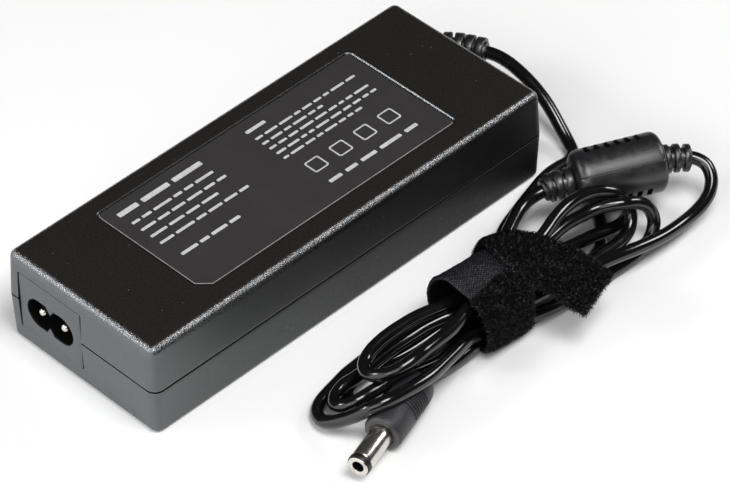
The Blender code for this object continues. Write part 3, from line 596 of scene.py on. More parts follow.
ROUTE = [
    (82.9, 10.2, 15), (84.78, 6.67, 15.01), (86.16, 2.94, 14.78), (86.8, -0.93, 14.14), (86.95, -4.8, 13.18),
    (86.9, -8.6, 11.95), (86.67, -12.29, 10.46), (86.2, -15.88, 8.77), (85.45, -19.32, 6.92), (84.56, -22.68, 4.96),
    (83.62, -26.11, 3.18), (81.98, -29.47, 2.07), (78.64, -31.33, 1.88), (74.71, -31.2, 2.05), (70.76, -31.18, 2.04),
    (66.88, -31.93, 1.96), (63.05, -32.98, 2), (59.23, -34.1, 2.14), (55.44, -35.32, 2.34), (51.65, -36.59, 2.58),
    (47.9, -37.94, 2.88), (44.27, -39.61, 3.17), (40.93, -41.81, 3.39), (37.85, -44.39, 3.54), (34.76, -46.96, 3.66),
    (31.42, -49.2, 3.8), (27.85, -51.06, 3.93), (24.12, -52.55, 4.01), (20.2, -53.36, 3.99), (16.21, -53.48, 3.86),
    (12.22, -53.38, 3.7), (8.23, -53.22, 3.65), (4.29, -52.59, 3.6), (0.57, -51.13, 3.32), (-3.08, -49.55, 2.89),
    (-6.82, -48.22, 2.45), (-10.7, -47.35, 2.13), (-14.66, -47.08, 1.94), (-18.63, -47.26, 1.88), (-22.61, -47.55, 1.88),
    (-26.57, -48.35, 1.88), (-30.53, -49.14, 1.88), (-34.43, -50.18, 1.88), (-37.73, -52.39, 2.03), (-39.38, -55.88, 2.8),
    (-38.91, -59.51, 4.42), (-37.38, -62.64, 6.53), (-35.76, -65.54, 8.92), (-33.82, -68.02, 11.47), (-30.52, -69.96, 12.67),
    (-26.55, -70.74, 12.77), (-22.49, -70.98, 12.5), (-18.44, -70.95, 12.04), (-14.45, -70.58, 11.54), (-10.55, -69.79, 11.02),
    (-6.69, -68.84, 10.51), (-2.85, -67.9, 10.03), (0.98, -66.92, 9.61), (4.81, -66.13, 9.04), (8.54, -66.27, 7.75),
    (12.21, -66.86, 6.32), (15.92, -66.9, 4.78), (19.78, -66.89, 3.77), (23.73, -67.21, 3.54), (27.59, -68.16, 3.35),
    (31.46, -69.04, 3.13), (35.4, -69.54, 2.88), (39.37, -69.72, 2.65), (43.35, -69.74, 2.44), (47.34, -69.77, 2.25),
    (51.33, -69.89, 2.09), (55.33, -70.09, 1.96), (59.32, -70.26, 1.88), (63.32, -70.25, 1.92), (67.26, -69.92, 2.46),
    (70.77, -69.19, 4.14), (72.9, -67.98, 7.19), (72.53, -66.26, 10.71), (69.85, -64.64, 13.24), (66.23, -63.2, 14.41),
    (63.09, -60.77, 14.29), (59.95, -58.62, 13.57), (56.24, -57.57, 13.16), (52.33, -57.02, 13.17), (48.36, -56.95, 13.23),
    (44.41, -57.42, 13.21), (40.46, -57.91, 13.2), (36.48, -58.27, 13.2), (32.5, -58.51, 13.19), (28.51, -58.55, 13.18),
    (24.52, -58.39, 13.18), (20.55, -58.04, 13.18), (16.58, -57.58, 13.19), (12.63, -57.08, 13.22), (8.68, -56.51, 13.27),
    (4.75, -55.81, 13.32), (0.87, -54.89, 13.39), (-3.02, -53.99, 13.36), (-6.96, -53.39, 13.09), (-10.93, -52.96, 12.69),
    (-14.92, -52.8, 12.14), (-18.91, -53.18, 11.44), (-22.62, -54.69, 10.91), (-24.97, -57.91, 11.19), (-24.89, -61.66, 12.65),
    (-22.55, -64.64, 14.12), (-18.97, -66.21, 15.37), (-14.86, -66.55, 16.07), (-10.66, -66.15, 15.86), (-6.45, -65.79, 15.73),
    (-2.29, -65.55, 15.84), (1.74, -64.87, 16.16), (5.6, -63.73, 16.6), (9.51, -62.8, 16.95), (13.48, -62.21, 17.18),
    (17.48, -61.81, 17.33), (21.48, -61.46, 17.42), (25.47, -61.1, 17.51), (29.46, -60.7, 17.61), (33.43, -60.21, 17.7),
    (37.37, -59.52, 17.76), (41.22, -58.42, 17.8), (44.99, -57.1, 17.8), (48.83, -56, 17.75), (52.77, -55.37, 17.7),
    (56.76, -55.38, 17.68), (60.67, -56.19, 17.54), (64.26, -57.82, 16.81), (67.24, -59.68, 14.89), (69.13, -61.18, 11.72),
    (68.93, -63.19, 8.41), (66.38, -64.95, 6.1), (62.64, -65.82, 5.24), (58.66, -65.98, 5.12), (54.66, -65.84, 5.17),
    (50.65, -65.69, 5.21), (46.65, -65.55, 5.24), (42.64, -65.36, 5.3), (38.64, -65.04, 5.43), (34.66, -64.56, 5.63),
    (30.7, -63.87, 5.97), (26.81, -62.94, 6.57), (23, -61.86, 7.49), (19.1, -61.15, 8.48), (15.05, -61.48, 8.79),
    (10.99, -61.89, 8.94), (6.92, -62.2, 9.22), (2.87, -62.71, 9.62), (-1.12, -63.66, 10.06), (-5.09, -64.65, 10.61),
    (-9.09, -65.44, 11.38), (-13.07, -65.53, 12.45), (-17.1, -64.86, 12.46), (-20.66, -63.47, 11.17), (-23.92, -62.46, 9.08),
    (-27.75, -61.74, 8.41), (-31.57, -61.12, 7.94), (-34.43, -59.12, 6.69), (-34.51, -55.86, 5.13), (-31.95, -53.35, 4.53),
    (-28.37, -52.65, 5.4), (-24.45, -52.87, 5.46), (-20.4, -52.79, 5.51), (-16.35, -52.74, 6.04), (-12.33, -52.85, 6.6),
    (-8.36, -53.2, 7.09), (-4.44, -53.76, 7.69), (-0.64, -54.55, 8.52), (3.04, -55.83, 9.32), (6.77, -57.21, 9.68),
    (10.72, -57.85, 9.41), (14.7, -57.74, 8.72), (18.66, -57.45, 7.99), (22.66, -57.33, 7.43), (26.69, -57.23, 7.04),
    (30.71, -57.12, 6.77), (34.74, -57.08, 6.61), (38.77, -57.18, 6.53), (42.79, -57.48, 6.51), (46.78, -57.99, 6.54),
    (50.73, -58.74, 6.57), (54.64, -59.64, 6.57), (58.56, -60.47, 6.43), (62.47, -61.03, 5.81), (66.32, -60.95, 4.8),
    (70.09, -60.03, 3.86), (73.66, -58.44, 3.07), (76.83, -56.1, 2.46), (79.31, -53.01, 2.08), (80.9, -49.36, 1.91),
    (81.38, -45.42, 1.88), (80.32, -41.64, 1.92), (77.42, -39.1, 2.01), (73.6, -39.07, 2.05), (70.71, -41.58, 2.03),
    (69.55, -45.32, 2), (69.04, -49.24, 2), (67.66, -52.91, 2.01), (65.13, -55.93, 1.98), (62.33, -58.73, 1.94),
    (59.2, -61.15, 1.91), (55.53, -62.63, 1.89), (51.6, -63.2, 1.92), (47.62, -63.2, 2.05), (43.66, -62.86, 2.3),
    (39.72, -62.39, 2.59), (35.77, -61.91, 2.88), (31.82, -61.5, 3.14), (27.85, -61.17, 3.36), (23.88, -60.84, 3.58),
    (19.93, -60.35, 3.66), (15.97, -59.79, 3.65), (11.97, -59.97, 3.65), (7.99, -60.5, 3.68), (3.98, -60.67, 3.5),
    (-0, -60.41, 3.03), (-3.96, -59.98, 2.5), (-7.93, -59.7, 2.09), (-11.91, -59.76, 1.89), (-15.87, -60.21, 1.88),
    (-19.71, -61.31, 1.88), (-23.59, -61.99, 1.88), (-27.19, -60.62, 1.88), (-28.97, -57.27, 1.88), (-27.91, -53.68, 1.88),
    (-24.71, -51.63, 1.92), (-20.81, -51.14, 2.05), (-16.84, -51.2, 2.02), (-12.9, -51.85, 2), (-9.03, -52.8, 2.23),
    (-5.24, -53.85, 2.86), (-1.49, -54.82, 3.83), (2.25, -55.58, 4.99), (6.07, -55.82, 6.1), (9.93, -55.17, 6.9),
    (13.76, -54.26, 7.63), (17.64, -53.73, 8.55), (21.54, -53.4, 9.47), (25.4, -52.45, 10.14), (29.13, -50.87, 10.52),
    (32.85, -49.22, 10.74), (36.56, -47.57, 10.93), (40.23, -45.89, 11.08), (43.87, -44.17, 11.17), (47.55, -42.64, 11.29),
    (51.43, -41.91, 11.59), (55.3, -42.45, 12.16), (58.94, -43.83, 12.94), (62.32, -45.9, 13.43), (65.82, -47.82, 13.53),
    (69.44, -49.52, 13.51), (73.05, -51.23, 13.5), (76.65, -52.96, 13.5), (80.26, -54.68, 13.5), (83.87, -56.4, 13.51),
    (87.45, -58.18, 13.49), (90.78, -60.38, 13.34), (93.77, -62.88, 13.05), (95.22, -66.18, 11.78), (94.15, -69.26, 9.71),
    (91.41, -71.31, 7.78), (87.82, -72.31, 6.4), (83.92, -72.67, 5.63), (79.94, -72.85, 5.39), (75.96, -73.08, 5.6),
    (72, -73.32, 6.09), (68.06, -73.35, 6.69), (64.11, -73.11, 7.31), (60.18, -72.65, 7.86), (56.26, -71.98, 8.32),
    (52.35, -71.19, 8.58), (48.41, -70.42, 8.59), (44.47, -69.7, 8.42), (40.53, -68.98, 8.17), (36.59, -68.24, 7.92),
    (32.64, -67.53, 7.78), (28.68, -66.85, 7.79), (24.77, -66.1, 7.61), (21.02, -65, 6.9), (17.46, -63.58, 5.79),
    (13.76, -63.38, 4.48), (10.09, -64.65, 3.72), (6.15, -65.18, 3.65), (2.27, -64.92, 2.81), (-1.64, -64.75, 2.43),
    (-5.49, -64.9, 3.12), (-9.12, -65.1, 4.59), (-12.85, -65.75, 5.54), (-16.66, -66.98, 5.5), (-20.47, -68.18, 5.5),
    (-24.28, -69.38, 5.5), (-26.19, -69.98, 5.5),
]
CORD_R = 1.85
EXIT = (85.1, 6.0, 15.0)
line = Path(ROUTE, per=10)
rings = [(0.0, CORD_R - 0.25), (0.25, CORD_R)]
rings += [(s, CORD_R) for s in np.arange(1.0, line.length - 0.6, 1.0)]
rings += [(line.length - 0.25, CORD_R), (line.length, CORD_R - 0.25)]
b = Build()
b.add(*lathe(line, rings, turn(20)))
cord = b.object("cord", [CORD], 60)
cord_path = [tuple(line.at(s)[0] * MM) for s in np.arange(0.0, line.length, 2.0)] + [tuple(line.p[-1] * MM)]


# ---------------------------------------------------------------- ribbed sleeves

def ribs(rings, s, count, pitch, width, high, low, tag, first=0):
    """Adds count ribs from s on; each gap between two is tagged with its number so that webs can cross it."""
    for i in range(count):
        h = high[0] + (high[1] - high[0]) * i / max(count - 1, 1)
        g = (tag, i + first)
        rings += [(s, low, g), (s, h - 0.34), (s + 0.12, h - 0.12), (s + 0.34, h), (s + width - 0.34, h), (s + width - 0.12, h - 0.12), (s + width, h - 0.34), (s + width, low, (tag, i + first + 1))]
        s += pitch
    return s - pitch + width


def webbed(high, half=0.34, first=0.0):
    """Webs cross each gap at two opposite places, a quarter turn on in the next gap."""
    def shape(s, r, tag, a):
        if tag is None:
            return r
        at = first + (tag[1] % 2) * math.pi / 2
        near = (apart(a, at) < half) | (apart(a, at + math.pi) < half)
        return np.where(near, np.maximum(r, high), r)
    return shape


def web_marks(half=0.34, first=0.0):
    return [first + k * math.pi / 2 + e for k in range(4) for e in (-half, half)]


BOOT_AXIS = [(66.4, 19, 15), (69, 19, 15), (72.6, 18.8, 15), (76.6, 17.3, 15), (79.7, 14.7, 15), (81.6, 12.4, 15), (82.9, 10.2, 15), (84.1, 8, 15), (85.1, 6, 15)]
axis = Path(BOOT_AXIS)
rings = [(0, 1.9), (0, 5.7), (0.3, 6.0), (1.7, 6.0), (2.0, 5.7), (2.0, 3.9), (5.4, 3.9), (5.5, 4.4), (5.8, 4.75), (7.0, 4.75), (7.4, 4.45), (7.4, 3.3)]
end = ribs(rings, axis.length - 15.2, 5, 3.0, 2.45, (4.4, 3.9), 2.75, "boot")
rings += [(end, 3.0), (end + 0.5, 2.9), (end + 0.7, 2.6), (end + 0.7, 1.9)]
b = Build()
b.add(*lathe(axis, rings, turn(48, web_marks(0.36, 0.4)), webbed(3.75, 0.36, 0.4)))
boot = b.object("cord_boot", [MOULD], 40)


# ---------------------------------------------------------------- ferrite bead

F_L, F_R = np.array((63.91, -46.85, 13.5)), np.array((86.28, -57.58, 13.5))
F_LEN = 24.8
axis = Path([(56.46, -42.86, 12.4), (58.3, -43.5, 12.8), (60.9, -45.0, 13.3), F_L, F_L + (F_R - F_L) * 0.33, F_L + (F_R - F_L) * 0.67, F_R, (88.7, -58.9, 13.45), (91.2, -60.7, 13.3), (93.2, -62.3, 13.05)])
s0 = float(axis.s[np.argmin(np.linalg.norm(axis.p - F_L, axis=1))])
s1 = s0 + F_LEN
PART = math.radians(44)                       # parting line, towards the front of the bead
BITES = (PART + 1.33, PART - 1.33)
BITE_HALF, BITE_LEN, BITE_DEEP = 0.36, 1.45, 1.25
rings = [(-0.2, 1.9), (-0.2, 2.9), (0.2, 3.1)]
end = ribs(rings, 0.75, 3, 2.72, 2.0, (3.95, 4.15), 2.9, "left")
rings += [(s0 - 0.15, 3.1, ("left", 3)), (s0 - 0.15, 4.4), (s0, 4.7), (s0, 5.7)]
rings += [(s0 + 2.6 * (1 - math.cos(k)), 5.7 + 2.6 * math.sin(k)) for k in np.linspace(0.2, math.pi / 2, 10)]
mid = 0.5 * (s0 + s1) - 0.75
for k in range(6):
    c = mid + (k - 2.5) * 2.92
    for e, side in ((-0.5 * BITE_LEN, (0, 1)), (0.5 * BITE_LEN, (1, 0))):
        rings += [(c + e - 0.04, 8.3, ("bite", side[0])), (c + e + 0.04, 8.3, ("bite", side[1]))]
rings += [(s1 - 1.8 * (1 - math.cos(k)), 6.5 + 1.8 * math.sin(k)) for k in np.linspace(math.pi / 2, 0.2, 8)]
rings += [(s1, 6.5), (s1, 2.9, ("right", 0))]
end = ribs(rings, s1 + 0.8, 3, 2.8, 1.75, (4.05, 3.8), 2.8, "right")
rings += [(end, 2.9), (end + 0.25, 2.8), (end + 0.4, 2.6), (end + 0.4, 1.9)]
web = {"left": webbed(3.9, 0.36, 0.9), "right": webbed(3.4, 0.36, 0.9)}


def bead_shape(s, r, tag, a):
    out = np.full(a.shape, float(r))
    if tag is not None and tag[0] != "bite":
        return web[tag[0]](s, r, tag, a)
    if tag is not None and tag[1]:
        for c in BITES:
            out = np.where(apart(a, c) < BITE_HALF, r - BITE_DEEP, out)
    if r > 6.4 and s0 < s < s1:
        out = np.where((apart(a, PART) < 0.02) | (apart(a, PART + math.pi) < 0.02), out - 0.16, out)
    return out


marks = [c + e for c in BITES for e in (-BITE_HALF, BITE_HALF)] + [PART + k * math.pi + e for k in (0, 1) for e in (-0.02, 0.02)] + web_marks(0.36, 0.9)
b = Build()
b.add(*lathe(axis, rings, turn(72, marks), bead_shape))
bead = b.object("bead_mould", [MOULD, BITE], 40)
for f in bead.data.polygons:                  # painted shade: the bites take a darker material inside
    c = np.array(f.center) / MM - F_L
    at = c @ unit(F_R - F_L)
    f.material_index = int(3.0 < at < F_LEN - 2.4 and np.linalg.norm(c - at * unit(F_R - F_L)) < 7.9)


# ---------------------------------------------------------------- plug

P_F, P_T = np.array((-34.2, -72.5, 5.5)), np.array((-13.596, -66.013, 5.5))
P_D = unit(P_T - P_F)
axis = Path([P_F + P_D * k for k in (-16, -8, 0, 7, 14, 21.6, 23)], smooth=False)
o = 16.0
GRIP_HALF = 0.62
GRIPS = (math.radians(58), math.radians(58 + 180))
rings = [(o + 6, 3.15), (o + 0.3, 3.15), (o + 0.3, 3.5), (o, 3.6), (o, 4.35), (o + 0.10, 4.70), (o + 0.34, 5.0), (o + 0.75, 5.24), (o + 1.4, 5.35), (o + 8.6, 5.28)]
for k in range(8):
    c = o + 9.0 + 0.93 * k
    r = 5.26 - 0.02 * k
    rings += [(c, r - 0.05, ("grip", 0)), (c + 0.14, r, ("grip", 1)), (c + 0.46, r, ("grip", 1)), (c + 0.60, r - 0.05, ("grip", 0))]
rings += [(o + 17.2, 5.08), (o + 18.6, 4.98), (o + 19.6, 4.78), (o + 20.5, 4.45), (o + 21.2, 4.0), (o + 21.6, 3.5), (o + 21.6, 1.9)]


def grip_shape(s, r, tag, a):
    if tag is None:
        return r
    near = (apart(a, GRIPS[0]) < GRIP_HALF) | (apart(a, GRIPS[1]) < GRIP_HALF)
    return np.where(near, r + (0.22 if tag[1] else -0.16), r)


b = Build()
b.add(*lathe(axis, rings, turn(64, [g + e for g in GRIPS for e in (-GRIP_HALF, GRIP_HALF)]), grip_shape))
plug_body = b.object("plug_body", [MATT, MOULD], 34)
for f in plug_body.data.polygons:
    f.material_index = int((np.array(f.center) / MM - P_F) @ P_D < 0.3)

b = Build()
b.add(*lathe(axis, [(o + 5.5, 3.1), (o + 0.02, 3.1), (o - 0.05, 3.1), (o - 10.4, 3.08), (o - 10.75, 3.02), (o - 11.0, 2.9), (o - 11.0, 2.6), (o + 5.5, 2.6)][::-1], turn(56), closed=True))
plug_tube = b.object("plug_tube", [NICKEL], 40)
b = Build()
b.add(*lathe(axis, [(o - 9.0, 2.55), (o - 11.02, 2.55), (o - 11.06, 3.0), (o - 11.3, 3.2), (o - 12.45, 3.2), (o - 12.7, 3.06), (o - 12.75, 2.9), (o - 12.3, 2.8), (o - 12.2, 1.92), (o - 9.0, 1.92)][::-1], turn(56), closed=True))
plug_collar = b.object("plug_collar", [TIP], 34)
b = Build()
b.add(*lathe(axis, [(o + 5.0, 1.88), (o - 12.15, 1.88), (o - 12.25, 2.74), (o - 12.6, 2.86), (o - 12.95, 2.86), (o - 13.1, 2.7), (o - 13.1, 1.9), (o - 12.95, 1.66), (o - 12.6, 1.55), (o + 5.0, 1.5)][::-1], turn(48), closed=True))
plug_core = b.object("plug_core", [NICKEL, RECESS_SHADE], 40)
# painted shade: the bore of the inner contact takes the near-black recess material
for f in plug_core.data.polygons:
    c = np.array(f.center) / MM - P_F
    f.material_index = int(c @ P_D > -12.5 and np.linalg.norm(c - (c @ P_D) * P_D) < 1.6)


# ---------------------------------------------------------------- case

HX, HY, TOP, SEAM = 71.75, 28.5, 29.5, 15.0
CORNER, TOP_FILLET, BASE_FILLET, DRAFT, GAP = 3.0, 2.2, 1.6, 0.75, 0.48


def outline(inset, seg=10):
    return rounded(-HX + inset, HX - inset, -HY + inset, HY - inset, max(CORNER - inset, 0.5), seg)


def lean_up(z):
    return DRAFT * (z - SEAM) / (TOP - SEAM)


def lean_down(z):
    return DRAFT * (SEAM - z) / SEAM


steps = [(lean_up(TOP) + TOP_FILLET + 0.5, TOP)]
for k in np.linspace(math.pi / 2, 0, 10):
    z = TOP - TOP_FILLET * (1 - math.sin(k))
    steps.append((lean_up(z) + TOP_FILLET * (1 - math.cos(k)), z))
low = SEAM + GAP / 2
steps += [(lean_up(26.8), 26.8), (lean_up(16.2), 16.2), (lean_up(15.5), 15.5), (0.06, low + 0.16), (0.16, low + 0.05), (0.30, low), (1.15, low), (1.15, 16.7), (2.3, 16.7), (2.3 + lean_up(26.5), 26.5), (3.0 + lean_up(27.3), 27.3)]
shell_top = solid("shell_top", *loft([outline(i) for i, z in steps], [z for i, z in steps], up=False))
shell_top.data.materials.append(CASE)

steps = [(lean_down(0) + BASE_FILLET + 0.5, 0.0)]
for k in np.linspace(math.pi / 2, 0, 8):
    z = BASE_FILLET * (1 - math.sin(k))
    steps.append((lean_down(z) + BASE_FILLET * (1 - math.cos(k)), z))
high = SEAM - GAP / 2
steps += [(lean_down(2.1), 2.1), (lean_down(13.6), 13.6), (lean_down(14.4), 14.4), (0.06, high - 0.16), (0.16, high - 0.05), (0.30, high), (1.3, high), (1.3, 16.4), (2.25, 16.4), (2.3 + lean_down(3.0), 3.0), (3.0 + lean_down(2.2), 2.2)]
shell_bottom = solid("shell_bottom", *loft([outline(i) for i, z in steps], [z for i, z in steps]))
shell_bottom.data.materials.append(CASE)

# label recess, inlet window and cord hole
LX, LY, LCUT, LSINK = (-46.2, 46.6), (-20.3, 21.3), 3.6, 0.7


def label_line(grow, seg=6):
    g = grow
    return rounded(LX[0] - g, LX[1] + g, LY[0] - g, LY[1] + g, 1.8 + g, seg, 0.4, LCUT + 0.6 * g)


def bar_x(x0, x1, section):
    """Prism along X over a y, z outline."""
    n = len(section)
    v = np.vstack([np.column_stack([np.full(n, x), section]) for x in (x0, x1)])
    return v, grid(2, n) + [tuple(range(n))[::-1], tuple(n + j for j in range(n))]


IY, IZ, FACE = (-0.2, 23.3), (5.6, 24.6), -71.4
window = rounded(IY[0] - 0.40, IY[1] + 0.46, IZ[0] - 0.05, IZ[1] + 0.03, 0.5, 4, 0.3)


def cutters(k):
    out = [solid("cut_window", *bar_x(-76.0, -66.0, window))]
    ring = np.array([(19.0 + 4.1 * math.cos(a), 15.0 + 4.1 * math.sin(a)) for a in np.linspace(0, 2 * math.pi, 48, endpoint=False)])
    out.append(solid("cut_gland", *bar_x(66.0, 76.0, ring)))
    if k:
        out.append(solid("cut_label", *loft([label_line(0), label_line(0), label_line(0.55)], [TOP - LSINK, TOP - 0.30, TOP + 0.25])))
    return out


carve(shell_top, cutters(1))
carve(shell_bottom, cutters(0))
for ob in (shell_top, shell_bottom):
    finish_mesh(ob, 28)
    ob.data.materials.append(RECESS_SHADE)
    for f in ob.data.polygons:                # painted shade: the seam's inner faces take the near-black recess material
        c = np.array(f.center) / MM
        e = np.abs(c[:2]) - (np.array((HX, HY)) - CORNER)
        deep = CORNER - np.linalg.norm(np.maximum(e, 0)) - min(float(e.max()), 0.0)
        f.material_index = int(deep > 0.12 and abs(c[2] - SEAM) < 1.6)


# ---------------------------------------------------------------- label

def label_in(g):
    return label_line(-g)


b = Build()
b.add(*loft([label_in(0.5), label_in(0.42), label_in(0.42), label_in(0.62), label_in(0.9)], [TOP - LSINK + 0.02, TOP - LSINK + 0.08, TOP - 0.18, TOP - 0.10, TOP - 0.10]))
label_plate = b.object("label_plate", [LABEL, EDGE_HIGHLIGHT], 30)
# painted highlight: the step round the label's near edges takes the pale edge material
for f in label_plate.data.polygons:
    c = np.array(f.center) / MM
    f.material_index = int(TOP - 0.175 < c[2] < TOP - 0.105 and c[1] < 20.6 and c[0] < 45.8)

# plain bars and blank squares on the label
b = Build()
rng = np.random.default_rng(11)
z0, z1 = TOP - 0.101, TOP - 0.085


def rule(x0, x1, y, h):
    o = rounded(x0, x1, y - h / 2, y + h / 2, min(0.32, h * 0.45), 3, 0.0)
    b.add(*loft([o, o], [z0, z1]))


def words(x0, x1, y, h, lo, hi, gap):
    x = x0
    while x < x1 - lo:
        w = min(rng.uniform(lo, hi), x1 - x)
        rule(x, x + w, y, h)
        x += w + gap


words(-42.0, -9.0, 16.6, 1.7, 6.0, 13.0, 1.5)
for y, e in ((11.8, -12.0), (8.2, -8.5), (4.6, -16.0), (1.0, -10.0)):
    words(-41.5, e, y, 0.95, 2.6, 6.5, 0.9)
words(4.0, 14.0, 16.6, 1.2, 4.0, 9.0, 1.1)
for y, e in ((12.9, 41.0), (10.2, 27.0), (7.5, 42.0), (4.8, 41.0), (2.1, 33.0)):
    words(4.0, e, y, 0.85, 1.8, 5.2, 0.8)
for x in (6.0, 15.0, 24.0, 33.0):
    o, i = rounded(x, x + 5.0, -8.2, -3.2, 0.7, 4, 0.0), rounded(x + 0.45, x + 4.55, -7.75, -3.65, 0.4, 4, 0.0)
    n = len(o)
    v = np.vstack([np.column_stack([q, np.full(n, z)]) for q, z in ((o, z0), (o, z1), (i, z1), (i, z0))])
    b.add(v, grid(4, n, True, True))
words(-40.5, -16.0, -6.0, 1.1, 3.0, 6.0, 1.0)
words(6.0, 38.5, -13.2, 1.25, 4.0, 9.0, 1.6)
label_print = b.object("label_print", [PRINT], 30)


# ---------------------------------------------------------------- mains inlet

body = rounded(IY[0], IY[1], IZ[0], IZ[1], 0.55, 4, 0.3)
small = rounded(IY[0] + 0.22, IY[1] - 0.22, IZ[0] + 0.22, IZ[1] - 0.22, 0.4, 4, 0.3)
n = len(body)
xs = [(FACE, small), (FACE + 0.08, small + (body - small) * 0.7), (FACE + 0.25, body), (FACE + 18.0, body)]
v = np.vstack([np.column_stack([np.full(n, x), q]) for x, q in xs])
inlet = solid("inlet_face", v, grid(4, n) + [tuple(range(n))[::-1], tuple(3 * n + j for j in range(n))])
inlet.data.materials.append(INLET)
inlet.data.materials.append(RECESS_SHADE)
CY, CZ = 11.7, 14.4


def socket(g=0.0):
    r = 4.4 + g
    left = [(CY + 4.3 + r * math.cos(a), CZ + 0.05 + r * math.sin(a)) for a in np.radians(np.linspace(-96, 96, 25))]
    right = [(CY - 4.3 + r * math.cos(a), CZ + r * math.sin(a)) for a in np.radians(np.linspace(84, 276, 25))]
    out = left + [(CY + 1.75 - g, CZ + 4.35 + g), (CY - 0.1, CZ + 2.15 + g), (CY - 1.55 + g, CZ + 4.2 + g)] + right + [(CY - 1.45 + g, CZ - 4.3 - g), (CY + 0.2, CZ - 2.2 - g), (CY + 1.8 - g, CZ - 4.3 - g)]
    return np.array(out)


o0, o1 = socket(0.0), socket(0.22)
n = len(o0)
v = np.vstack([np.column_stack([np.full(n, x), q]) for x, q in ((FACE - 1.0, o1), (FACE, o1), (FACE + 0.25, o0), (FACE + 12.5, o0))])
carve(inlet, [solid("cut_socket", v, grid(4, n) + [tuple(range(n))[::-1], tuple(3 * n + j for j in range(n))])])
finish_mesh(inlet, 28)
# painted shade: the socket's inner faces take the near-black recess material
for f in inlet.data.polygons:
    c = np.array(f.center) / MM
    f.material_index = int(c[0] > FACE + 0.05 and abs(c[1] - CY) < 9.2 and abs(c[2] - CZ) < 5.0)

pins = []
for name, y in (("pin_left", 15.9), ("pin_right", 7.3)):
    axis = Path([(FACE + x, y, 14.5) for x in (0.0, 6.0, 12.0, 17.0)], smooth=False)
    rings = [(0.35 + 1.25 * (1 - math.cos(k)), 1.25 * math.sin(k)) for k in np.linspace(0.12, math.pi / 2, 8)] + [(6.0, 1.25), (16.5, 1.25)]
    b = Build()
    b.add(*lathe(axis, rings, turn(32)))
    pins.append(b.object(name, [NICKEL], 50))


# ---------------------------------------------------------------- strap

STATIONS = [
    ((28.3, -84.2, 13.0), (42.7, -79.8, 14.6)), ((26.3, -79.8, 15.0), (41.6, -77.8, 16.8)), ((25.0, -76.8, 17.2), (40.7, -75.8, 18.4)),
    ((24.0, -73.4, 18.0), (39.6, -72.5, 19.6)), ((22.6, -69.6, 18.5), (38.6, -69.0, 19.9)), ((21.2, -66.0, 21.7), (37.4, -64.6, 20.2)),
    ((20.4, -62.0, 23.4), (36.1, -60.5, 20.3)), ((20.7, -58.0, 23.8), (34.9, -56.0, 18.8)), ((22.4, -54.0, 22.4), (33.9, -52.0, 16.6)),
    ((24.6, -50.6, 18.4), (33.2, -48.4, 13.2)), ((24.2, -48.4, 11.4), (32.4, -46.4, 7.4)), ((20.5, -49.0, 4.6), (31.0, -47.4, 2.4)),
    ((15.0, -54.0, 1.3), (28.8, -53.0, 1.2)), ((11.2, -62.0, 1.2), (25.6, -62.0, 1.2)),
    ((9.2, -66.4, 1.9), (24.2, -68.0, 1.7)), ((8.3, -69.0, 5.2), (23.4, -70.0, 5.0)), ((7.7, -69.7, 10.4), (22.9, -70.5, 10.2)),
    ((7.0, -68.8, 16.0), (22.5, -70.0, 16.6)), ((6.3, -66.0, 19.9), (22.4, -66.8, 20.3)), ((6.0, -61.0, 21.1), (22.3, -61.4, 21.9)),
    ((6.0, -55.8, 21.8), (22.2, -55.8, 21.8)), ((6.0, -51.2, 18.8), (21.6, -52.4, 18.0)), ((6.0, -49.0, 13.2), (21.0, -50.8, 12.4)), ((6.2, -49.6, 8.0), (20.6, -51.2, 7.4))]
HINGE = 8                                      # station where the tail leaves the ring
COLS, STRAP_T = 25, 1.2
per = 16
left, right = catmull([a for a, c in STATIONS], per), catmull([c for a, c in STATIONS], per)
centre = 0.5 * (left + right)
arc = np.concatenate([[0], np.cumsum(np.linalg.norm(np.diff(centre, axis=0), axis=1))])
split = arc[HINGE * per]
cut_s = [np.linspace(0, split, int(split / 0.7)), np.linspace(split, arc[-1], int((arc[-1] - split) / 0.7))]


def strip(s):
    """Surface of the strap at the lengths s: points, outward directions, and place across and along."""
    at = lambda a: np.stack([np.interp(s, arc, a[:, k]) for k in range(3)], 1)
    l, r = at(left), at(right)
    u = np.linspace(0, 1, COLS)
    p = l[:, None] + (r - l)[:, None] * u[None, :, None]
    across = unit(r - l)[:, None] + 0 * p
    grow = lambda a: unit(np.stack([np.interp(np.clip(s + 0.4, 0, arc[-1]), arc, a[:, k]) - np.interp(np.clip(s - 0.4, 0, arc[-1]), arc, a[:, k]) for k in range(3)], 1))
    along = unit(grow(left)[:, None] * (1 - u[None, :, None]) + grow(right)[:, None] * u[None, :, None])
    return p, unit(np.cross(across, along)), u, s


def ripple(p, seed):
    """Slow, seeded waves so that the tape doesn't lie dead flat."""
    q = np.random.default_rng(seed)
    w = np.zeros(p.shape[:-1])
    for k in range(5):
        d = q.normal(size=3)
        w += np.sin(p @ (d / np.linalg.norm(d)) * q.uniform(0.25, 0.6) + q.uniform(0, 6.28))
    return 0.05 * w


def tape_side(p, u, s):
    """True where the tape shows its woven face: the last lap of the ring, from the front top edge on."""
    return (s > split + 40.0) & (p[..., 1] > -65.2 + 1.4 * u) & (p[..., 2] > 6.0)


near = KDTree(len(line.p[::3]))
for i, c in enumerate(line.p[::3]):
    near.insert(c, i)
near.balance()


def press(low, n, room):
    """Inner face of the strap, pressed in where it lies on a strand of the cord."""
    out = low.copy()
    for i, j in np.ndindex(low.shape[:2]):
        for t in np.arange(0.0, max(room[i, j], 0.01), 0.04):
            out[i, j] = low[i, j] + n[i, j] * t
            if near.find(out[i, j])[2] >= CORD_R + 0.05:
                break
    return out


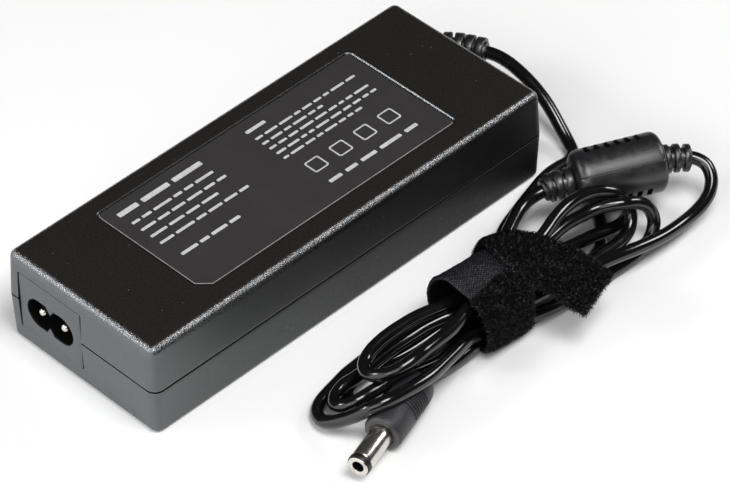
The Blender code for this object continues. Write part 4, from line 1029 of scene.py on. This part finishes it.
def make_strip(name, s, mats, zone):
    p, n, u, s = strip(s)
    p = p + n * ripple(p, 5)[..., None]
    edge = np.clip(np.minimum(u, 1 - u) / 0.03, 0, 1) ** 0.5 * 0.75 + 0.25
    q = np.random.default_rng(3)
    rough = q.normal(0, 0.07, p.shape[:2])
    top = p + n * (STRAP_T / 2 * edge[None, :] + rough)[..., None]
    low = press(p - n * (STRAP_T / 2 * edge)[None, :, None], n, STRAP_T * edge[None, :] + rough - 0.15)
    loop = np.concatenate([top, low[:, ::-1]], 1)
    m, k = len(s), 2 * COLS
    faces = [f[::-1] for f in grid(m, k)]
    for i, flip in ((0, False), (m - 1, True)):
        for j in range(COLS - 1):
            f = (i * k + j, i * k + j + 1, i * k + k - 2 - j, i * k + k - 1 - j)
            faces.append(f[::-1] if flip else f)
    b = Build()
    b.add(loop.reshape(-1, 3), faces)
    ob = b.object(name, mats, 60)
    me = ob.data
    uv = me.uv_layers.new(name="strip")
    width = np.linalg.norm(right - left, axis=1).mean()
    coord = np.zeros((m, k, 2))
    coord[:, :COLS, 0] = u * width
    coord[:, COLS:, 0] = u[::-1] * width
    coord[..., 1] = s[:, None]
    idx = np.zeros(len(me.loops), np.int32)
    me.loops.foreach_get("vertex_index", idx)
    uv.data.foreach_set("uv", coord.reshape(-1, 2)[idx].astype(np.float32).ravel())
    if zone is not None:
        mid = np.array([f.center for f in me.polygons]) / MM
        row = np.minimum(np.arange(len(me.polygons)) // k, m - 1)
        which = np.zeros(len(me.polygons), np.int32)
        which[zone(mid, np.clip((mid[:, 0] - 6) / 15.5, 0, 1), s[row])] = 1
        me.polygons.foreach_set("material_index", which)
        me.update()
    return ob


def pile(name, s_lo, s_hi, count, seed, keep, half=0.075, ends=0.055):
    """Loops of nylon standing on the outside of the strap, each a thin curled ribbon."""
    q = np.random.default_rng(seed)
    s = q.uniform(s_lo, s_hi, count)
    u = q.uniform(0.0, 1.0, count)
    # the threads stand in tufts, and some more of them along the two edges and the cut end
    span = 15.2
    cell = np.stack([np.floor(s / 0.95), np.floor(u * span / 0.95)], 1).astype(int)
    jog = q.uniform(0.2, 0.8, (cell[:, 0].max() + 1, cell[:, 1].max() + 1, 2))
    aim = (cell + jog[cell[:, 0], cell[:, 1]]) * 0.95
    s, u = np.clip(s + 0.5 * (aim[:, 0] - s), s_lo, s_hi), np.clip(u + 0.5 * (aim[:, 1] / span - u), 0, 1)
    rim = q.uniform(0, 1, count)
    u = np.where(rim < ends, q.uniform(0, 0.035, count), np.where(rim < 2 * ends, q.uniform(0.965, 1, count), u))
    tip = (s_lo == 0.0) & (rim > 1 - ends)
    s = np.where(tip, q.uniform(0, 0.7, count), s)
    grid_s = np.linspace(s_lo, s_hi, int((s_hi - s_lo) / 0.7) + 2)
    p, n, cols, _ = strip(grid_s)
    p = p + n * ripple(p, 5)[..., None]
    fi = np.interp(s, grid_s, np.arange(len(grid_s)))
    i = np.minimum(fi.astype(int), len(grid_s) - 2)
    a = (fi - i)[:, None]
    fj = u * (COLS - 1)
    j = np.minimum(fj.astype(int), COLS - 2)
    c = (fj - j)[:, None]
    pick = lambda g: (g[i, j] * (1 - a) * (1 - c) + g[i + 1, j] * a * (1 - c) + g[i, j + 1] * (1 - a) * c + g[i + 1, j + 1] * a * c)
    base, out = pick(p), unit(pick(n))
    ok = keep(base, u, q.uniform(0, 1, count), s)
    base, out, u, tip = base[ok], out[ok], u[ok], tip[ok][:, None]
    m = len(base)
    side = unit(p[i[ok], -1] - p[i[ok], 0])
    along = np.cross(out, side)
    w = q.uniform(0, 2 * math.pi, m)[:, None]
    run = np.cos(w) * side + np.sin(w) * along
    # threads at the two edges lean outwards over them
    lean = np.where(u < 0.06, -1.0, np.where(u > 0.94, 1.0, 0.0))[:, None]
    run = unit(run + 1.5 * lean * side - 1.5 * tip * along)
    far = np.where((lean != 0) | tip, q.uniform(0.7, 1.7, m)[:, None], 1.0)
    wide = np.cross(run, out)
    high, reach, curl = q.uniform(0.30, 1.45, m)[:, None], far * q.uniform(0.4, 1.5, m)[:, None], q.uniform(-0.8, 0.8, m)[:, None]
    start = base + out * (STRAP_T / 2 - 0.15 - np.where((lean != 0) | tip, q.uniform(0.0, 0.9, m)[:, None], 0.0))
    rows = []
    for t in (0.0, 0.22, 0.45, 0.7, 1.0):
        c = start + out * high * (0.15 + 0.85 * math.sin(math.pi * (0.12 + 0.80 * t))) + run * reach * (t - 0.25) + wide * curl * math.sin(math.pi * t * 1.3)
        h = half * (1.0 - 0.35 * t)
        rows += [c - wide * h, c + wide * h]
    v = np.stack(rows, 1)
    v[..., 2] = np.maximum(v[..., 2], 0.1)
    k = v.shape[1]
    one = [(2 * r, 2 * r + 1, 2 * r + 3, 2 * r + 2) for r in range(k // 2 - 1)]
    base_i = (np.arange(m) * k)[:, None, None]
    faces = (np.array(one)[None] + base_i).reshape(-1, 4).tolist()
    me = bpy.data.meshes.new(name)
    me.from_pydata((v.reshape(-1, 3) * MM).tolist(), [], faces)
    me.materials.append(FIBRE)
    me.materials.append(GLINT)
    pale = q.uniform(0, 1, m) < 0.15
    me.polygons.foreach_set("material_index", np.repeat(pale, k // 2 - 1).astype(np.int32))
    me.update()
    ob = bpy.data.objects.new(name, me)
    scene.collection.objects.link(ob)
    me.shade_smooth()
    return ob


strap_flap = make_strip("strap_flap", cut_s[0], [NAP], None)
strap_loop = make_strip("strap_loop", cut_s[1], [NAP, WEAVE], tape_side)
flap_pile = pile("strap_flap_pile", 0.0, split, 11500, 21, lambda p, u, k, s: np.ones(len(p), bool))
loop_pile = pile("strap_loop_pile", split, arc[-1], 26000, 22, lambda p, u, k, s: ~tape_side(p, np.clip((p[:, 0] - 6) / 15.5, 0, 1), s) & (p[:, 2] > 1.6) & ((s < split + 40.0) | (p[:, 1] < -60.0)))


# ---------------------------------------------------------------- inner parts that come straight from the frame

STOCK = {
    "board": plain("board_laminate", (0.20, 0.12, 0.045), (0.30, 0.19, 0.08), 0.5, 260.0),
    "sheet": plain("sheet_fibre", (0.02, 0.02, 0.02), (0.035, 0.035, 0.035), 0.6, 300.0),
    "chip": plain("chip_epoxy", (0.012, 0.012, 0.013), (0.022, 0.022, 0.023), 0.5, 500.0),
    "can": plain("can_sleeve", (0.015, 0.018, 0.03), (0.028, 0.032, 0.05), 0.3, 200.0),
    "box": plain("box_capacitor", (0.50, 0.36, 0.05), (0.62, 0.46, 0.09), 0.4, 200.0),
    "blue": plain("disc_lacquer_blue", (0.02, 0.07, 0.25), (0.04, 0.11, 0.36), 0.35, 300.0),
    "green": plain("disc_lacquer_green", (0.03, 0.14, 0.06), (0.06, 0.20, 0.09), 0.4, 300.0),
    "fuse": plain("fuse_ceramic", (0.62, 0.60, 0.55), (0.75, 0.73, 0.68), 0.45, 300.0),
    "copper": plain("copper_wire", (0.55, 0.24, 0.11), (0.70, 0.34, 0.17), 0.28, 500.0, metal=1.0),
    "tape": plain("tape_polyester", (0.60, 0.44, 0.07), (0.70, 0.54, 0.13), 0.35, 120.0),
    "ferrite": plain("ferrite_core_grey", (0.035, 0.035, 0.037), (0.06, 0.06, 0.063), 0.55, 400.0),
    "metal": plain("heat_sink_metal", (0.55, 0.56, 0.57), (0.68, 0.69, 0.70), 0.35, 200.0, metal=1.0),
    "brown": plain("wire_jacket_brown", (0.08, 0.035, 0.015), (0.12, 0.055, 0.025), 0.4, 400.0),
    "wire_blue": plain("wire_jacket_blue", (0.02, 0.06, 0.28), (0.035, 0.09, 0.36), 0.4, 400.0),
    "red": plain("wire_jacket_red", (0.34, 0.02, 0.015), (0.44, 0.04, 0.03), 0.4, 400.0),
    "black": plain("wire_jacket_black", (0.010, 0.010, 0.010), (0.018, 0.018, 0.018), 0.4, 400.0),
}
INSIDE = {
    "mains_lead_live": "brown", "mains_lead_neutral": "wire_blue", "circuit_board": "board", "insulating_sheet": "sheet", "mains_fuse": "fuse",
    "inrush_thermistor": "green", "line_capacitor": "box", "line_choke_core": "ferrite", "line_choke_coil": "copper", "bridge_rectifier": "chip",
    "bulk_capacitor": "can", "transformer_core": "ferrite", "transformer_winding": "tape", "primary_heat_sink": "metal", "secondary_heat_sink": "metal",
    "power_transistor": "chip", "output_rectifier": "chip", "output_capacitor_front": "can", "output_capacitor_rear": "can", "output_choke": "copper",
    "safety_capacitor": "blue", "optocoupler": "chip", "control_chip": "chip", "output_lead_positive": "red", "output_lead_negative": "black", "ferrite_core": "ferrite"}
for name, kind in INSIDE.items():
    ob = frame["nodes"][name]
    for k in range(max(1, len(ob.material_slots))):
        if len(ob.material_slots) == 0:
            break
        ob.material_slots[k].material = STOCK[kind]


# ---------------------------------------------------------------- what each piece stands for

def stand(ob, slot, *nodes):
    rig.ride(ob, "adapter")
    if nodes:
        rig.replaces(ob, *nodes)
    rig.slot(ob, slot)


stand(cord, "cord_black", "cord_lead", "cord_rear_loop", "cord_ferrite_loop", "cord_hank", "cord_plug_lead")
stand(boot, "mould_black", "strain_relief")
stand(bead, "mould_black", "ferrite_overmould")
stand(plug_body, "mould_black", "plug_overmould")
stand(plug_tube, "nickel", "plug_barrel")
stand(plug_collar, "mould_black", "plug_tip_ring")
stand(plug_core, "nickel", "plug_inner_contact")
stand(shell_top, "case_black", "top_cover")
stand(shell_bottom, "case_black", "bottom_cover")
stand(label_plate, "label_grey", "rating_label")
stand(label_print, "label_grey")
stand(inlet, "inlet_black", "inlet_housing")
stand(pins[0], "nickel", "inlet_pin_left")
stand(pins[1], "nickel", "inlet_pin_right")
stand(strap_loop, "strap_black", "strap_band")
stand(loop_pile, "strap_black")
for ob in (strap_flap, flap_pile):
    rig.blend(ob, "adapter", "strap_tail", start=(0.0272, -0.0532, 0.0197), end=(0.0289, -0.0577, 0.0217))
    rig.slot(ob, "strap_black")
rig.replaces(strap_flap, "strap_tail")

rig.cord(cord, exit=tuple(np.array(EXIT) * MM), length=round(line.length * MM, 4), diameter=0.0037, far_end="plug", stiffness="limp", lay="coiled", path=cord_path, with_pieces=[boot, bead, plug_body, plug_tube, plug_collar, plug_core])
wide = lambda a, c: float(np.interp(np.linspace(a, c, 200), arc, np.linalg.norm(right - left, axis=1)).mean() * MM)
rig.sheet(strap_loop, flat=(wide(split, arc[-1]), (arc[-1] - split) * MM), held="stretched", rests_on=["cord"], with_pieces=[loop_pile])
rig.sheet(strap_flap, flat=(wide(0.0, split), split * MM), held="laid", rests_on=["cord"], with_pieces=[flap_pile])


# ---------------------------------------------------------------- floor and light

p = Paint("floor_sweep", Specular_IOR_Level=0.25)
FLOOR = p.set(Base_Color=p.ramp(p.noise(3.0, 3.0), [(0.3, (0.960, 0.960, 0.960)), (0.7, (0.972, 0.972, 0.972))]), Roughness=p.span(p.noise(9.0), 0.3, 0.7, 0.5, 0.6))
b = Build()
q = 3000.0
b.add([(-q, -q, -0.05), (q, -q, -0.05), (q, q, -0.05), (-q, q, -0.05)], [(0, 1, 2, 3)])
floor = b.object("floor", [FLOOR])
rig.stage(floor)

AIM = np.array((10.0, -25.0, 12.0))


def softbox(name, toward, distance, w, h, watts, colour=(1, 1, 1)):
    d = unit(np.array(toward, float))
    data = bpy.data.lights.new(name, "AREA")
    data.shape, data.size, data.size_y, data.energy, data.color = "RECTANGLE", w, h, watts, colour
    ob = bpy.data.objects.new(name, data)
    ob.location = Vector((AIM + d * distance) * MM)
    ob.rotation_euler = Vector(-d).to_track_quat("-Z", "Y").to_euler()
    scene.collection.objects.link(ob)
    return ob


softbox("light_left", (-0.68, 0.53, 0.55), 900, 0.16, 0.16, 1.2)
softbox("light_right", (0.74, -0.30, 0.60), 900, 0.24, 0.24, 2.0)
softbox("light_over", (-0.08, -0.38, 0.92), 1200, 0.50, 0.50, 9.0)
softbox("light_front", (-0.62, -0.42, 0.66), 1400, 0.90, 0.90, 4.5)
softbox("light_card", (-0.92, 0.22, 0.32), 800, 1.30, 0.80, 4.6)

world = bpy.data.worlds.new("studio")
world.use_nodes = True
world.node_tree.nodes["Background"].inputs["Color"].default_value = (1.0, 0.96, 0.91, 1.0)
world.node_tree.nodes["Background"].inputs["Strength"].default_value = 0.05
scene.world = world

with open("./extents.json", "w") as f:
    json.dump({"cad": CAD_BOX, "visual": [list(v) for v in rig.bounds()]}, f)
